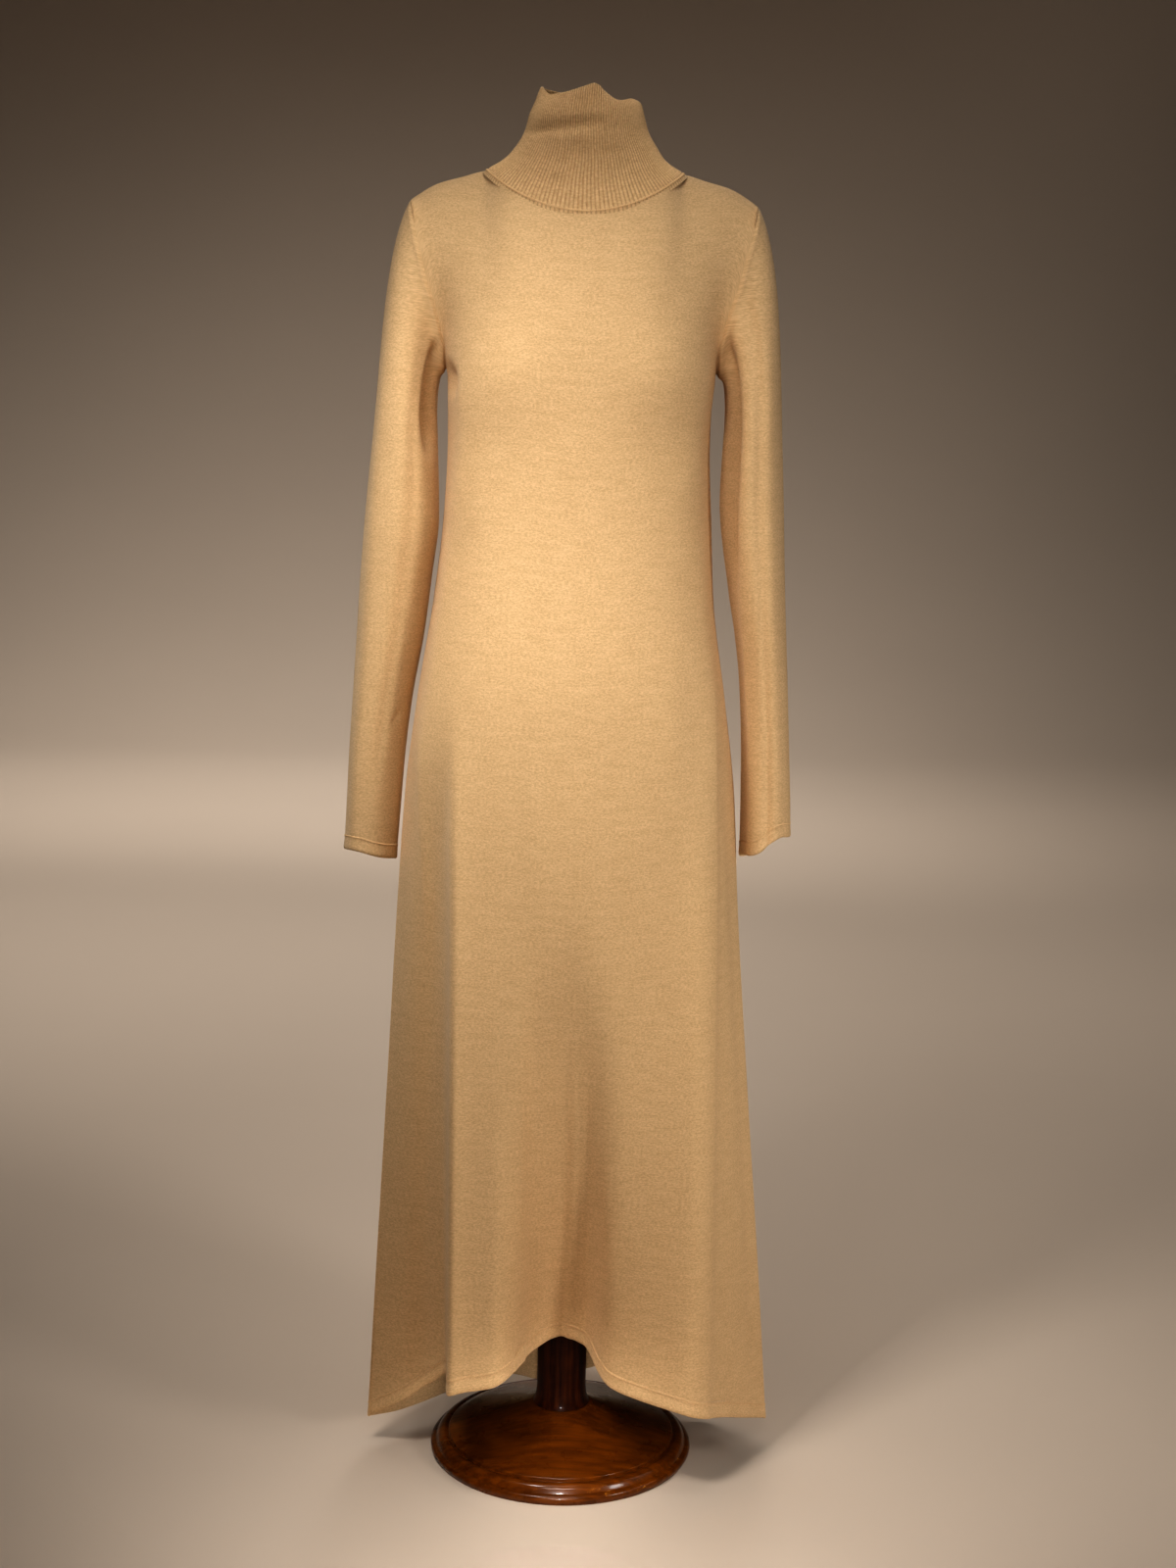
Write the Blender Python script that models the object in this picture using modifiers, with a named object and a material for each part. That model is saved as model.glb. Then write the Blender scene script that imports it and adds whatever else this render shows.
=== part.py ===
"""Long knitted sweater dress on a turned wooden stand with a smooth limbless dress form.

Metres, +Z up, front towards -Y, wearer's left towards +X. The origin is the centre of the
round base on the floor. Every cloth piece is a closed wall built from an outer sheet of
points and an inner sheet of points; neighbouring pieces stop SEAM apart.
"""
import math

import bmesh
import bpy
import numpy as np

NAME = "sweater_dress_on_dress_form"

# --- cloth -----------------------------------------------------------------------------
WALL = 0.0020              # knitted wall
BAND_WALL = 0.0024         # turned hems and cuffs
SEAM = 0.0003              # gap between neighbouring pieces
HEM_BAND = 0.0170          # height of the turned hem
CUFF_BAND = 0.0150         # height of the turned cuff
PROUD = 0.0004             # how far a turned band stands out of its panel

# --- levels of the body ----------------------------------------------------------------
UNDERARM_Z = 1.190         # bottom of the armhole
PARTING_Z = 0.640          # each panel's solid is parted here, just above the form's foot
HIP_Z = 0.800
SHOULDER_TIP_Z = 1.356
NECK_POINT_Z = 1.394
SHOULDER_HALF = 0.1765     # half the shoulder width
NECK_HALF = 0.0970         # half the width of the neckline
NECK_FRONT_Y = -0.0780
NECK_FRONT_Z = 1.3475
NECK_BACK_Y = 0.0620
NECK_BACK_Z = 1.3990
ARMHOLE_DEPTH = 0.0470     # half the armhole's width from front to back

# --- collar ----------------------------------------------------------------------------
RIBS = 150
RIB_HEIGHT = 0.0009
RIM_SHARE = 0.3            # ribs flatten at the cast-off rim
COLLAR_WALL = 0.0022
RIDGE_HEIGHT = 0.0034      # height of the linking ridge at the collar's foot
RIDGE_PROUD = 0.0012

# --- form, post and base ---------------------------------------------------------------
POST_RADIUS = 0.0270
FORM_BOTTOM_Z = 0.6200
BASE_RADIUS = 0.1450
GROOVE_RADIUS = 0.1258     # ring groove between the dome and the rim mould
FOOT_GAP = 0.0004          # between the post and what it meets

# --- mesh density ----------------------------------------------------------------------
PER_LINE = 2               # columns between neighbouring fold lines
SKIRT_ROWS = 7             # from the hem band up to the parting
BODICE_ROWS = 7            # from the parting up to the underarm
CHEST_ROWS = 10            # also the sleeve's columns on each half of the armhole
SLEEVE_ROWS = 12
FORM_SIDES = 28
BASE_STEPS = 40
POST_STEPS = 28

# Horizontal sections of the dress body: height, side edges, depths, squareness.
BODY = (
    # z      x_min    x_max   front   back   power
    (0.030, -0.2175, 0.2320, 0.100, 0.112, 2.2),
    (0.200, -0.2090, 0.2180, 0.104, 0.106, 2.2),
    (0.420, -0.1975, 0.1980, 0.110, 0.103, 2.2),
    (0.630, -0.1868, 0.1800, 0.116, 0.101, 2.3),
    (0.750, -0.1790, 0.1722, 0.119, 0.104, 2.3),
    (0.850, -0.1668, 0.1592, 0.119, 0.103, 2.3),
    (0.960, -0.1497, 0.1435, 0.112, 0.091, 2.3),
    (1.040, -0.1408, 0.1390, 0.108, 0.083, 2.4),
    (1.120, -0.1370, 0.1350, 0.113, 0.086, 2.5),
    (1.190, -0.1380, 0.1365, 0.119, 0.091, 2.5),
)

# Front fold lines from the wearer's right side (-X) to the left: where each meets the hem,
# its share of the half width at hip and underarm, where its fold starts and how it grows.
FRONT_LINES = (
    # hem_x    hem_y   hem_z   hip     chest   start  growth
    (-0.2165,  0.000, 0.0310, -1.000, -1.000, 0.80, 1.0),
    (-0.1720, -0.020, 0.0560, -0.930, -0.930, 0.80, 0.9),
    (-0.1290, -0.034, 0.0890, -0.780, -0.820, 0.82, 0.9),
    (-0.1165, -0.126, 0.1160, -0.665, -0.680, 0.80, 0.9),
    (-0.0760, -0.127, 0.1240, -0.450, -0.480, 0.70, 1.2),
    (-0.0265, -0.058, 0.1405, -0.190, -0.230, 0.60, 1.5),
    (-0.0010, -0.041, 0.1458,  0.005,  0.000, 0.62, 1.6),
    (0.0240,  -0.049, 0.1400,  0.220,  0.240, 0.60, 1.5),
    (0.0570,  -0.084, 0.1100,  0.430,  0.480, 0.60, 1.3),
    (0.0880,  -0.106, 0.1030,  0.620,  0.680, 0.70, 1.0),
    (0.1310,  -0.117, 0.0935,  0.790,  0.820, 0.80, 0.9),
    (0.1830,  -0.064, 0.0670,  0.925,  0.930, 0.80, 0.9),
    (0.2300,   0.000, 0.0370,  1.000,  1.000, 0.80, 1.0),
)

# Back fold lines from the same side to the other.
BACK_LINES = (
    # hem_x    hem_y   hem_z   hip     chest   start  growth
    (-0.2165,  0.000, 0.0310, -1.000, -1.000, 0.80, 1.0),
    (-0.1800,  0.034, 0.0245, -0.930, -0.930, 0.80, 1.0),
    (-0.1370,  0.066, 0.0290, -0.790, -0.820, 0.75, 1.0),
    (-0.0980,  0.122, 0.0310, -0.640, -0.680, 0.78, 1.0),
    (-0.0580,  0.110, 0.0350, -0.430, -0.480, 0.70, 1.2),
    (-0.0220,  0.084, 0.0420, -0.210, -0.240, 0.70, 1.3),
    (0.0140,   0.100, 0.0440,  0.005,  0.000, 0.66, 1.3),
    (0.0520,   0.124, 0.0400,  0.220,  0.240, 0.72, 1.1),
    (0.0860,   0.104, 0.0380,  0.430,  0.480, 0.72, 1.1),
    (0.1180,   0.079, 0.0360,  0.620,  0.680, 0.70, 1.2),
    (0.1540,   0.083, 0.0300,  0.790,  0.820, 0.76, 1.0),
    (0.1950,   0.050, 0.0310,  0.925,  0.930, 0.80, 1.0),
    (0.2300,   0.000, 0.0370,  1.000,  1.000, 0.80, 1.0),
)

# Share of the top edge where each fold line ends: -1 and 1 are the shoulder tips, the
# neck points lie between, and 0 is the centre of the neckline.
TOP_STOPS = (-1.0, -0.80, -0.62, -0.45, -0.31, -0.155, 0.0,
             0.155, 0.31, 0.45, 0.62, 0.80, 1.0)
NECK_STOP = 0.45

# Seam of the armhole: height and distance of the seam from the middle of the dress.
ARMHOLE = (
    # z      x
    (1.190, 0.1390),
    (1.212, 0.1392),
    (1.232, 0.1428),
    (1.256, 0.1490),
    (1.280, 0.1570),
    (1.311, 0.1650),
    (1.335, 0.1712),
    (1.356, 0.1765),
)

# Shoulder seam from the neck point to the tip: distance from the middle and height.
SHOULDER = (
    # x      z
    (0.0970, 1.3940),
    (0.1160, 1.3870),
    (0.1330, 1.3810),
    (0.1500, 1.3745),
    (0.1640, 1.3685),
    (0.1720, 1.3630),
    (0.1765, 1.3560),
)

# Level sections of the right sleeve (-X): height, outer and inner side, front and back.
SLEEVE_RIGHT = (
    # z      outer   inner    front   back
    (1.120, 0.2138, 0.1470, -0.062, 0.056),
    (1.040, 0.2216, 0.1450, -0.058, 0.056),
    (0.977, 0.2267, 0.1520, -0.050, 0.056),
    (0.915, 0.2307, 0.1600, -0.042, 0.055),
    (0.852, 0.2347, 0.1712, -0.035, 0.052),
    (0.789, 0.2387, 0.1790, -0.030, 0.048),
    (0.725, 0.2417, 0.1840, -0.026, 0.046),
    (0.665, 0.2450, 0.1885, -0.024, 0.044),
)

# Level sections of the left sleeve (+X).
SLEEVE_LEFT = (
    # z      outer   inner    front   back
    (1.120, 0.2092, 0.1480, -0.062, 0.056),
    (1.067, 0.2125, 0.1465, -0.058, 0.056),
    (0.965, 0.2180, 0.1590, -0.050, 0.054),
    (0.920, 0.2210, 0.1670, -0.044, 0.052),
    (0.869, 0.2244, 0.1735, -0.038, 0.050),
    (0.790, 0.2292, 0.1780, -0.032, 0.048),
    (0.731, 0.2326, 0.1792, -0.028, 0.046),
    (0.680, 0.2340, 0.1796, -0.026, 0.044),
)

# Rings of the collar above its linking ridge: side edges, depths, heights round the turn.
COLLAR = (
    # x_min    x_max    front   back    z_front z_side  z_back
    (-0.0785,  0.0750, -0.0650, 0.0570, 1.3815, 1.4110, 1.4160),
    (-0.0665,  0.0620, -0.0575, 0.0540, 1.4155, 1.4305, 1.4325),
    (-0.0640,  0.0580, -0.0555, 0.0530, 1.4405, 1.4445, 1.4455),
    (-0.0570,  0.0550, -0.0480, 0.0470, 1.4555, 1.4555, 1.4575),
    (-0.0470,  0.0510, -0.0390, 0.0400, 1.4695, 1.4655, 1.4685),
)

# Height of the collar's slack rim round the turn, from the left side (+X) through the front.
RIM = (
    # degrees  lift
    (0.0, 0.000),
    (40.0, -0.004),
    (62.0, -0.009),
    (88.0, 0.007),
    (120.0, -0.007),
    (150.0, 0.003),
    (180.0, 0.004),
    (225.0, -0.003),
    (270.0, 0.001),
    (315.0, -0.002),
    (360.0, 0.000),
)

# Level sections of the smooth form: height, half width, front, back, squareness.
FORM = (
    # z      half    front   back   power
    (FORM_BOTTOM_Z, 0.1400, 0.084, 0.078, 2.2),
    (0.632, 0.1480, 0.090, 0.084, 2.2),
    (0.700, 0.1560, 0.098, 0.092, 2.2),
    (0.790, 0.1590, 0.103, 0.094, 2.2),
    (0.860, 0.1500, 0.103, 0.093, 2.2),
    (0.930, 0.1340, 0.098, 0.083, 2.2),
    (1.000, 0.1220, 0.092, 0.073, 2.2),
    (1.060, 0.1230, 0.094, 0.073, 2.2),
    (1.130, 0.1280, 0.103, 0.080, 2.3),
    (1.185, 0.1310, 0.1140, 0.086, 2.4),
    (1.235, 0.1360, 0.106, 0.085, 2.3),
    (1.280, 0.1440, 0.087, 0.078, 2.2),
    (1.315, 0.1530, 0.066, 0.063, 2.1),
    (1.340, 0.1600, 0.042, 0.042, 2.0),
    (1.355, 0.1600, 0.028, 0.028, 2.0),
    (1.3640, 0.1560, 0.016, 0.016, 2.0),
    (1.3700, 0.1460, 0.012, 0.012, 2.0),
    (1.3765, 0.1280, 0.015, 0.015, 2.0),
    (1.3830, 0.1080, 0.021, 0.021, 2.0),
    (1.3905, 0.0870, 0.030, 0.030, 2.0),
    (1.400, 0.0700, 0.042, 0.041, 2.0),
    (1.408, 0.0605, 0.045, 0.044, 2.0),
    (1.421, 0.0555, 0.047, 0.046, 2.0),
    (1.436, 0.0545, 0.046, 0.045, 2.0),
    (1.440, 0.0505, 0.042, 0.041, 2.0),
)

# Turned post from its top to its foot.
POST_PROFILE = (
    # radius  z
    (POST_RADIUS, FORM_BOTTOM_Z - FOOT_GAP),
    (POST_RADIUS, 0.0760),
    (0.0275, 0.0660),
    (0.0292, 0.0590),
    (0.0312, 0.0550),
)

# Turned base from the middle of its top to its rim and underside.
BASE_PROFILE = (
    # radius  z
    (0.0320, 0.0550 - FOOT_GAP),
    (0.0480, 0.0465),
    (0.0800, 0.0352),
    (0.1080, 0.0272),
    (0.1200, 0.0240),
    (0.1240, 0.0222),
    (GROOVE_RADIUS, 0.0188),
    (GROOVE_RADIUS + 0.0017, 0.0190),
    (0.1310, 0.0195),
    (0.1360, 0.0170),
    (0.1388, 0.0128),
    (0.1396, 0.0112),
    (0.1430, 0.0100),
    (BASE_RADIUS, 0.0060),
    (BASE_RADIUS - 0.0008, 0.0020),
    (BASE_RADIUS - 0.0025, 0.0000),
)

MATERIALS = {
    # name               colour                 roughness metallic
    "camel_knit_front": ((0.560, 0.395, 0.235), 0.92, 0.0),
    "camel_knit_back": ((0.550, 0.388, 0.230), 0.92, 0.0),
    "camel_knit_sleeve_left": ((0.555, 0.390, 0.232), 0.92, 0.0),
    "camel_knit_sleeve_right": ((0.552, 0.389, 0.231), 0.92, 0.0),
    "camel_rib": ((0.545, 0.385, 0.232), 0.93, 0.0),
    "camel_hem_front": ((0.570, 0.405, 0.245), 0.92, 0.0),
    "camel_hem_back": ((0.565, 0.400, 0.242), 0.92, 0.0),
    "camel_cuff_left": ((0.568, 0.402, 0.244), 0.92, 0.0),
    "camel_cuff_right": ((0.566, 0.401, 0.243), 0.92, 0.0),
    "form_cover": ((0.620, 0.560, 0.470), 0.80, 0.0),
    "dark_post_wood": ((0.130, 0.036, 0.014), 0.30, 0.0),
    "dark_base_wood": ((0.150, 0.042, 0.016), 0.28, 0.0),
}


def clear_scene():
    """Remove every object so that the script can run again."""
    for item in list(bpy.data.objects):
        bpy.data.objects.remove(item, do_unlink=True)


def make_collection(name, hidden=False):
    """Return a fresh collection linked to the scene."""
    group = bpy.data.collections.get(name)
    if group is None:
        group = bpy.data.collections.new(name)
        bpy.context.scene.collection.children.link(group)
    group.hide_render = hidden
    return group


def make_material(name):
    """Return the Principled material of a finish, made once."""
    if name in bpy.data.materials:
        return bpy.data.materials[name]
    colour, rough, metal = MATERIALS[name]
    material = bpy.data.materials.new(name)
    material.use_nodes = True
    shader = material.node_tree.nodes["Principled BSDF"]
    shader.inputs["Base Color"].default_value = (*colour, 1.0)
    shader.inputs["Roughness"].default_value = rough
    shader.inputs["Metallic"].default_value = metal
    material.diffuse_color = (*colour, 1.0)
    return material


def column(table, index, z):
    """Value of one column of a table at a height, smooth between its rows."""
    rows = sorted(table)
    heights = np.array([row[0] for row in rows])
    values = np.array([row[index] for row in rows])
    return float(smooth(values[:, None], heights, np.array([z]))[0, 0])


def smooth(values, knots, at):
    """Curve through the values that never swings past its neighbours.

    values is (n, d), knots (n,) rising, at (m,); returns (m, d).
    """
    values = np.asarray(values, dtype=float)
    steps = np.diff(knots)
    steps = np.where(steps < 1e-9, 1e-9, steps)
    slopes = np.diff(values, axis=0) / steps[:, None]
    tangents = np.zeros_like(values)
    if len(values) > 2:
        left, right = slopes[:-1], slopes[1:]
        w_left = (2 * steps[1:] + steps[:-1])[:, None]
        w_right = (steps[1:] + 2 * steps[:-1])[:, None]
        same = (left * right) > 0
        safe_left = np.where(same, left, 1.0)
        safe_right = np.where(same, right, 1.0)
        mean = (w_left + w_right) / (w_left / safe_left + w_right / safe_right)
        tangents[1:-1] = np.where(same, mean, 0.0)
    tangents[0], tangents[-1] = slopes[0], slopes[-1]
    at = np.clip(at, knots[0], knots[-1])
    cell = np.clip(np.searchsorted(knots, at, side="right") - 1, 0, len(knots) - 2)
    width = steps[cell][:, None]
    part = ((at - knots[cell]) / steps[cell])[:, None]
    square, cube = part ** 2, part ** 3
    return ((2 * cube - 3 * square + 1) * values[cell]
            + (cube - 2 * square + part) * width * tangents[cell]
            + (-2 * cube + 3 * square) * values[cell + 1]
            + (cube - square) * width * tangents[cell + 1])


def across(anchors):
    """Points across a row: PER_LINE columns between neighbouring fold lines."""
    anchors = np.asarray(anchors)
    lengths = np.linalg.norm(np.diff(anchors, axis=0), axis=1)
    knots = np.concatenate([[0.0], np.cumsum(np.maximum(lengths, 1e-6))])
    at = []
    for start, end in zip(knots[:-1], knots[1:]):
        for step in range(PER_LINE):
            at.append(start + (end - start) * step / PER_LINE)
    at.append(knots[-1])
    return smooth(anchors, knots, np.array(at))


def body_point(share, z, side):
    """Point of the plain body section; share runs -1..1 from side to side."""
    low, high = column(BODY, 1, z), column(BODY, 2, z)
    depth = column(BODY, 3, z) if side < 0 else column(BODY, 4, z)
    power = column(BODY, 5, z)
    middle, half = (low + high) / 2, (high - low) / 2
    inside = max(0.0, 1.0 - abs(share) ** power)
    return np.array([middle + share * half, side * depth * inside ** (1.0 / power), z])


def skirt_point(line, z_share, side):
    """Point on a fold line between the hem (0) and the underarm level (1)."""
    hem_x, hem_y, hem_z, hip, chest, start, growth = line
    z = hem_z + (UNDERARM_Z - hem_z) * z_share
    if z >= HIP_Z:
        part = (z - HIP_Z) / (UNDERARM_Z - HIP_Z)
        return body_point(hip + (chest - hip) * part, z, side)
    plain = body_point(hip, z, side)
    at_hip = body_point(hip, HIP_Z, side)[0]
    part = (HIP_Z - z) / (HIP_Z - hem_z)
    if abs(hip) < 1.0:
        plain[0] = at_hip + (hem_x - at_hip) * part
    else:
        plain[0] += (hem_x - body_point(hip, hem_z, side)[0]) * part
    weight = max(0.0, (start - z) / (start - hem_z)) ** growth
    plain[1] += (hem_y - plain[1]) * weight
    return plain


def neckline_point(turn, side):
    """Point of the neckline; turn runs -1..1 between the neck points."""
    angle = math.pi / 2 * turn
    depth, height = (NECK_FRONT_Y, NECK_FRONT_Z) if side < 0 else (NECK_BACK_Y, NECK_BACK_Z)
    drop = height - NECK_POINT_Z
    return np.array([NECK_HALF * math.sin(angle), depth * math.cos(angle),
                     NECK_POINT_Z + drop * math.cos(angle) ** 1.85])


def top_point(stop, side):
    """Point of the shoulder seams and neckline along a panel's top."""
    if abs(stop) <= NECK_STOP:
        return neckline_point(stop / NECK_STOP, side)
    part = (abs(stop) - NECK_STOP) / (1.0 - NECK_STOP)
    x = NECK_HALF + (SHOULDER_HALF - NECK_HALF) * part
    return np.array([math.copysign(x, stop), 0.0, column(SHOULDER, 1, x)])


def armhole_point(turn, hand, side):
    """Point of the armhole seam; turn 0 is the underarm and 1 the shoulder tip."""
    angle = math.pi * (1.0 - turn)
    middle = (SHOULDER_TIP_Z + UNDERARM_Z) / 2
    half = (SHOULDER_TIP_Z - UNDERARM_Z) / 2
    z = middle + half * math.cos(angle)
    return np.array([hand * column(ARMHOLE, 1, z), side * ARMHOLE_DEPTH * math.sin(angle), z])


def armhole_inward(turn, hand, side, lean):
    """Direction into the wall along the armhole seam; lean opens it under the arm."""
    angle = math.pi * (1.0 - turn)
    to_middle = 0.30 + 0.50 * max(0.0, math.cos(angle)) ** 2
    under = max(0.0, -math.cos(angle))
    vector = np.array([-hand * (to_middle * (1.0 - under) + lean * 0.60 * under),
                       -side * math.sin(angle), -math.cos(angle)])
    return vector / np.linalg.norm(vector)


def bezier(a, b, c, d, t):
    """Point of a cubic between a and d."""
    return (a * (1 - t) ** 3 + b * 3 * t * (1 - t) ** 2
            + c * 3 * t ** 2 * (1 - t) + d * t ** 3)


def chest_point(index, line, turn, side):
    """Point between the underarm level (0) and the shoulder seam or neckline (1)."""
    last = len(TOP_STOPS) - 1
    if index in (0, last):
        return armhole_point(turn, -1.0 if index == 0 else 1.0, side)
    low = skirt_point(line, 1.0, side)
    below = skirt_point(line, 0.96, side)
    high = top_point(TOP_STOPS[index], side)
    up = (low - below) / np.linalg.norm(low - below)
    reach = np.linalg.norm(high - low)
    level = min(1.0, abs(TOP_STOPS[index]) / NECK_STOP)
    over = np.array([0.0, -side * (0.50 + 0.34 * level), 0.87 - 0.34 * level])
    over = over / np.linalg.norm(over)
    return bezier(low, low + up * reach * 0.36, high - over * reach * (0.30 + 0.08 * level),
                  high, turn)


def fold_rows(lines, side, low, high, count):
    """Rows of points across a panel; low and high give a fold line's shares at both ends."""
    rows = []
    for step in range(count + 1):
        anchors = [skirt_point(line, low(line) + (high(line) - low(line)) * step / count, side)
                   for line in lines]
        rows.append(across(anchors))
    return rows


def chest_rows(lines, side):
    """Rows of points across a panel from above the underarm level to the top edge."""
    return [across([chest_point(i, line, step / CHEST_ROWS, side)
                    for i, line in enumerate(lines)])
            for step in range(1, CHEST_ROWS + 1)]


def share_at(z):
    """Function that gives a fold line's share at a height."""
    def share(line):
        return (z - line[2]) / (UNDERARM_Z - line[2])
    return share


def share_above_hem(height):
    """Function that gives a fold line's share at a height above its hem."""
    def share(line):
        return height / (UNDERARM_Z - line[2])
    return share


def grid_normals(grid, outward, wrap=False):
    """Unit normals of a grid, turned to the outside given by outward(point)."""
    if wrap:
        along = np.roll(grid, -1, axis=1) - np.roll(grid, 1, axis=1)
    else:
        along = np.gradient(grid, axis=1)
    up = np.gradient(grid, axis=0)
    normal = np.cross(along, up)
    length = np.linalg.norm(normal, axis=2, keepdims=True)
    normal = normal / np.where(length < 1e-12, 1.0, length)
    flip = np.sum(normal * outward(grid), axis=2, keepdims=True) < 0
    return np.where(flip, -normal, normal)


def level_rows(normals, rows):
    """Lay the normals of the rows level, so that bands and panels meet flush."""
    for row in rows:
        normals[row, :, 2] = 0.0
        normals[row] /= np.linalg.norm(normals[row], axis=1, keepdims=True)
    return normals


def wall_mesh(name, outer, inner, wrap=False):
    """Closed wall between two sheets of points; wrap joins the last column to the first."""
    mesh = bmesh.new()
    sheets = []
    for sheet in (outer, inner):
        sheets.append([[mesh.verts.new(point) for point in row] for row in sheet])
    out, ins = sheets

    def skin(sheet, guide, flip):
        """Triangles of a sheet; both sheets split their cells along the guide's diagonal."""
        rows, cols = len(sheet), len(sheet[0])
        for i in range(rows - 1):
            for j in range(cols if wrap else cols - 1):
                k = (j + 1) % cols
                a, b, c, d = sheet[i][j], sheet[i][k], sheet[i + 1][k], sheet[i + 1][j]
                rising = np.linalg.norm(guide[i, j] - guide[i + 1, k])
                falling = np.linalg.norm(guide[i, k] - guide[i + 1, j])
                cells = ((a, b, c), (a, c, d)) if rising <= falling else ((a, b, d), (b, c, d))
                for cell in cells:
                    mesh.faces.new(cell[::-1] if flip else cell)

    def join(line_a, line_b, closed):
        """Strip between two lines of points of unlike counts."""
        count_a, count_b = len(line_a), len(line_b)
        steps_a = count_a if closed else count_a - 1
        steps_b = count_b if closed else count_b - 1
        i = j = 0
        while i < steps_a or j < steps_b:
            a, b = line_a[i % count_a], line_b[j % count_b]
            next_a, next_b = line_a[(i + 1) % count_a], line_b[(j + 1) % count_b]
            if count_a == count_b:
                face = mesh.faces.new((a, next_a, next_b, b))
                i, j = i + 1, j + 1
            elif j >= steps_b or (i < steps_a and (i + 1) / steps_a <= (j + 1) / steps_b):
                face = mesh.faces.new((a, next_a, b))
                i += 1
            else:
                face = mesh.faces.new((a, next_b, b))
                j += 1
            for edge in face.edges:
                edge.smooth = False

    skin(out, outer, False)
    skin(ins, outer if outer.shape == inner.shape else inner, True)
    join(out[0], ins[0], wrap)
    join(out[-1], ins[-1], wrap)
    if not wrap:
        join([row[0] for row in out], [row[0] for row in ins], False)
        join([row[-1] for row in out], [row[-1] for row in ins], False)
    bmesh.ops.recalc_face_normals(mesh, faces=mesh.faces)
    data = bpy.data.meshes.new(name)
    mesh.to_mesh(data)
    mesh.free()
    return data


def add_object(name, data, material, collection, soft=True):
    """Link a finished mesh with its material."""
    item = bpy.data.objects.new(name, data)
    data.materials.clear()
    data.materials.append(make_material(material))
    for face in data.polygons:
        face.use_smooth = soft
    collection.objects.link(item)
    return item


def from_axis(grid):
    """Direction away from the upright axis, used to tell the outside."""
    return grid * np.array([1.0, 1.0, 0.0]) + np.array([0.0, 0.0, 1e-4])


def side_edges(grid, normals, side, wall):
    """Outer and inner sheets of a grid whose side edges lie on the side seams."""
    inward = -normals * wall
    outer = grid.copy()
    for i in range(grid.shape[0]):
        for j, hand in ((0, -1.0), (grid.shape[1] - 1, 1.0)):
            sharp = max(0.66, abs(normals[i, j, 0]))
            inward[i, j] = np.array([-hand * wall / sharp, 0.0, 0.0])
            outer[i, j, 1] = side * SEAM / 2
    return outer, inward


def skirt_sheets(lines, side, wall):
    """Outer and inner sheets of a panel between its hem band and the parting."""
    grid = np.array(fold_rows(lines, side, share_above_hem(HEM_BAND + SEAM),
                              share_at(PARTING_Z - SEAM / 2), SKIRT_ROWS))
    normals = level_rows(grid_normals(grid, from_axis), (0, -1))
    outer, inward = side_edges(grid, normals, side, wall)
    return outer, outer + inward


def bodice_sheets(lines, side, wall):
    """Outer and inner sheets of a panel above the parting, with its seam gaps."""
    grid = np.array(fold_rows(lines, side, share_at(PARTING_Z + SEAM / 2), share_at(UNDERARM_Z),
                              BODICE_ROWS) + chest_rows(lines, side))
    normals = level_rows(grid_normals(grid, from_axis), (0,))
    cols = grid.shape[1]
    outer, inward = side_edges(grid, normals, side, wall)
    for step in range(CHEST_ROWS + 1):
        i, turn = BODICE_ROWS + step, step / CHEST_ROWS
        for j, hand in ((0, -1.0), (cols - 1, 1.0)):
            inward[i, j] = armhole_inward(turn, hand, side, 1.0) * wall
            outer[i, j] = grid[i, j] - np.array([hand * SEAM * 0.7, 0.0, 0.0])
            if turn in (0.0, 1.0):
                outer[i, j, 1] = side * SEAM / 2
    for j in range(cols):
        stop = abs(np.interp(j / PER_LINE, range(len(TOP_STOPS)), TOP_STOPS))
        if NECK_STOP <= stop < 1.0:
            hand = -1.0 if j < cols / 2 else 1.0
            inward[-1, j] = np.array([-hand * 0.45, 0.0, -0.89]) * wall
            outer[-1, j, 1] = side * SEAM / 2
    inner = outer + inward
    for j in (0, -1):
        inner[:, j, 1] = np.where(np.abs(outer[:, j, 1]) < SEAM, side * SEAM / 2, inner[:, j, 1])
    return outer, inner


def band_sheets(lines, side, wall):
    """Turned hem below a panel: two rows on the panel's own lines, moved out a little."""
    grid = np.array(fold_rows(lines, side, share_above_hem(0.0), share_above_hem(HEM_BAND), 1))
    normals = level_rows(grid_normals(grid, from_axis), (0, 1))
    outer = grid + normals * PROUD
    inward = -normals * wall
    for j, hand in ((0, -1.0), (grid.shape[1] - 1, 1.0)):
        for i in (0, 1):
            outer[i, j] = grid[i, j] + np.array([hand * PROUD, 0.0, 0.0])
            sharp = max(0.66, abs(normals[i, j, 0]))
            inward[i, j] = np.array([-hand * wall / sharp, 0.0, 0.0])
            outer[i, j, 1] = side * SEAM / 2
    return outer, outer + inward


def sleeve_section(table, hand, z, angle):
    """Point of a level sleeve section; angle 0 is outside, 90 front, 180 by the body."""
    outer, inner = column(table, 1, z), column(table, 2, z)
    front, back = column(table, 3, z), column(table, 4, z)
    middle, half = (outer + inner) / 2, (outer - inner) / 2
    depth = (back - front) / 2
    centre = (back + front) / 2
    x = middle + half * math.cos(angle)
    y = centre - depth * math.copysign(abs(math.sin(angle)) ** 1.15, math.sin(angle))
    return np.array([hand * x, y, z])


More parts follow.
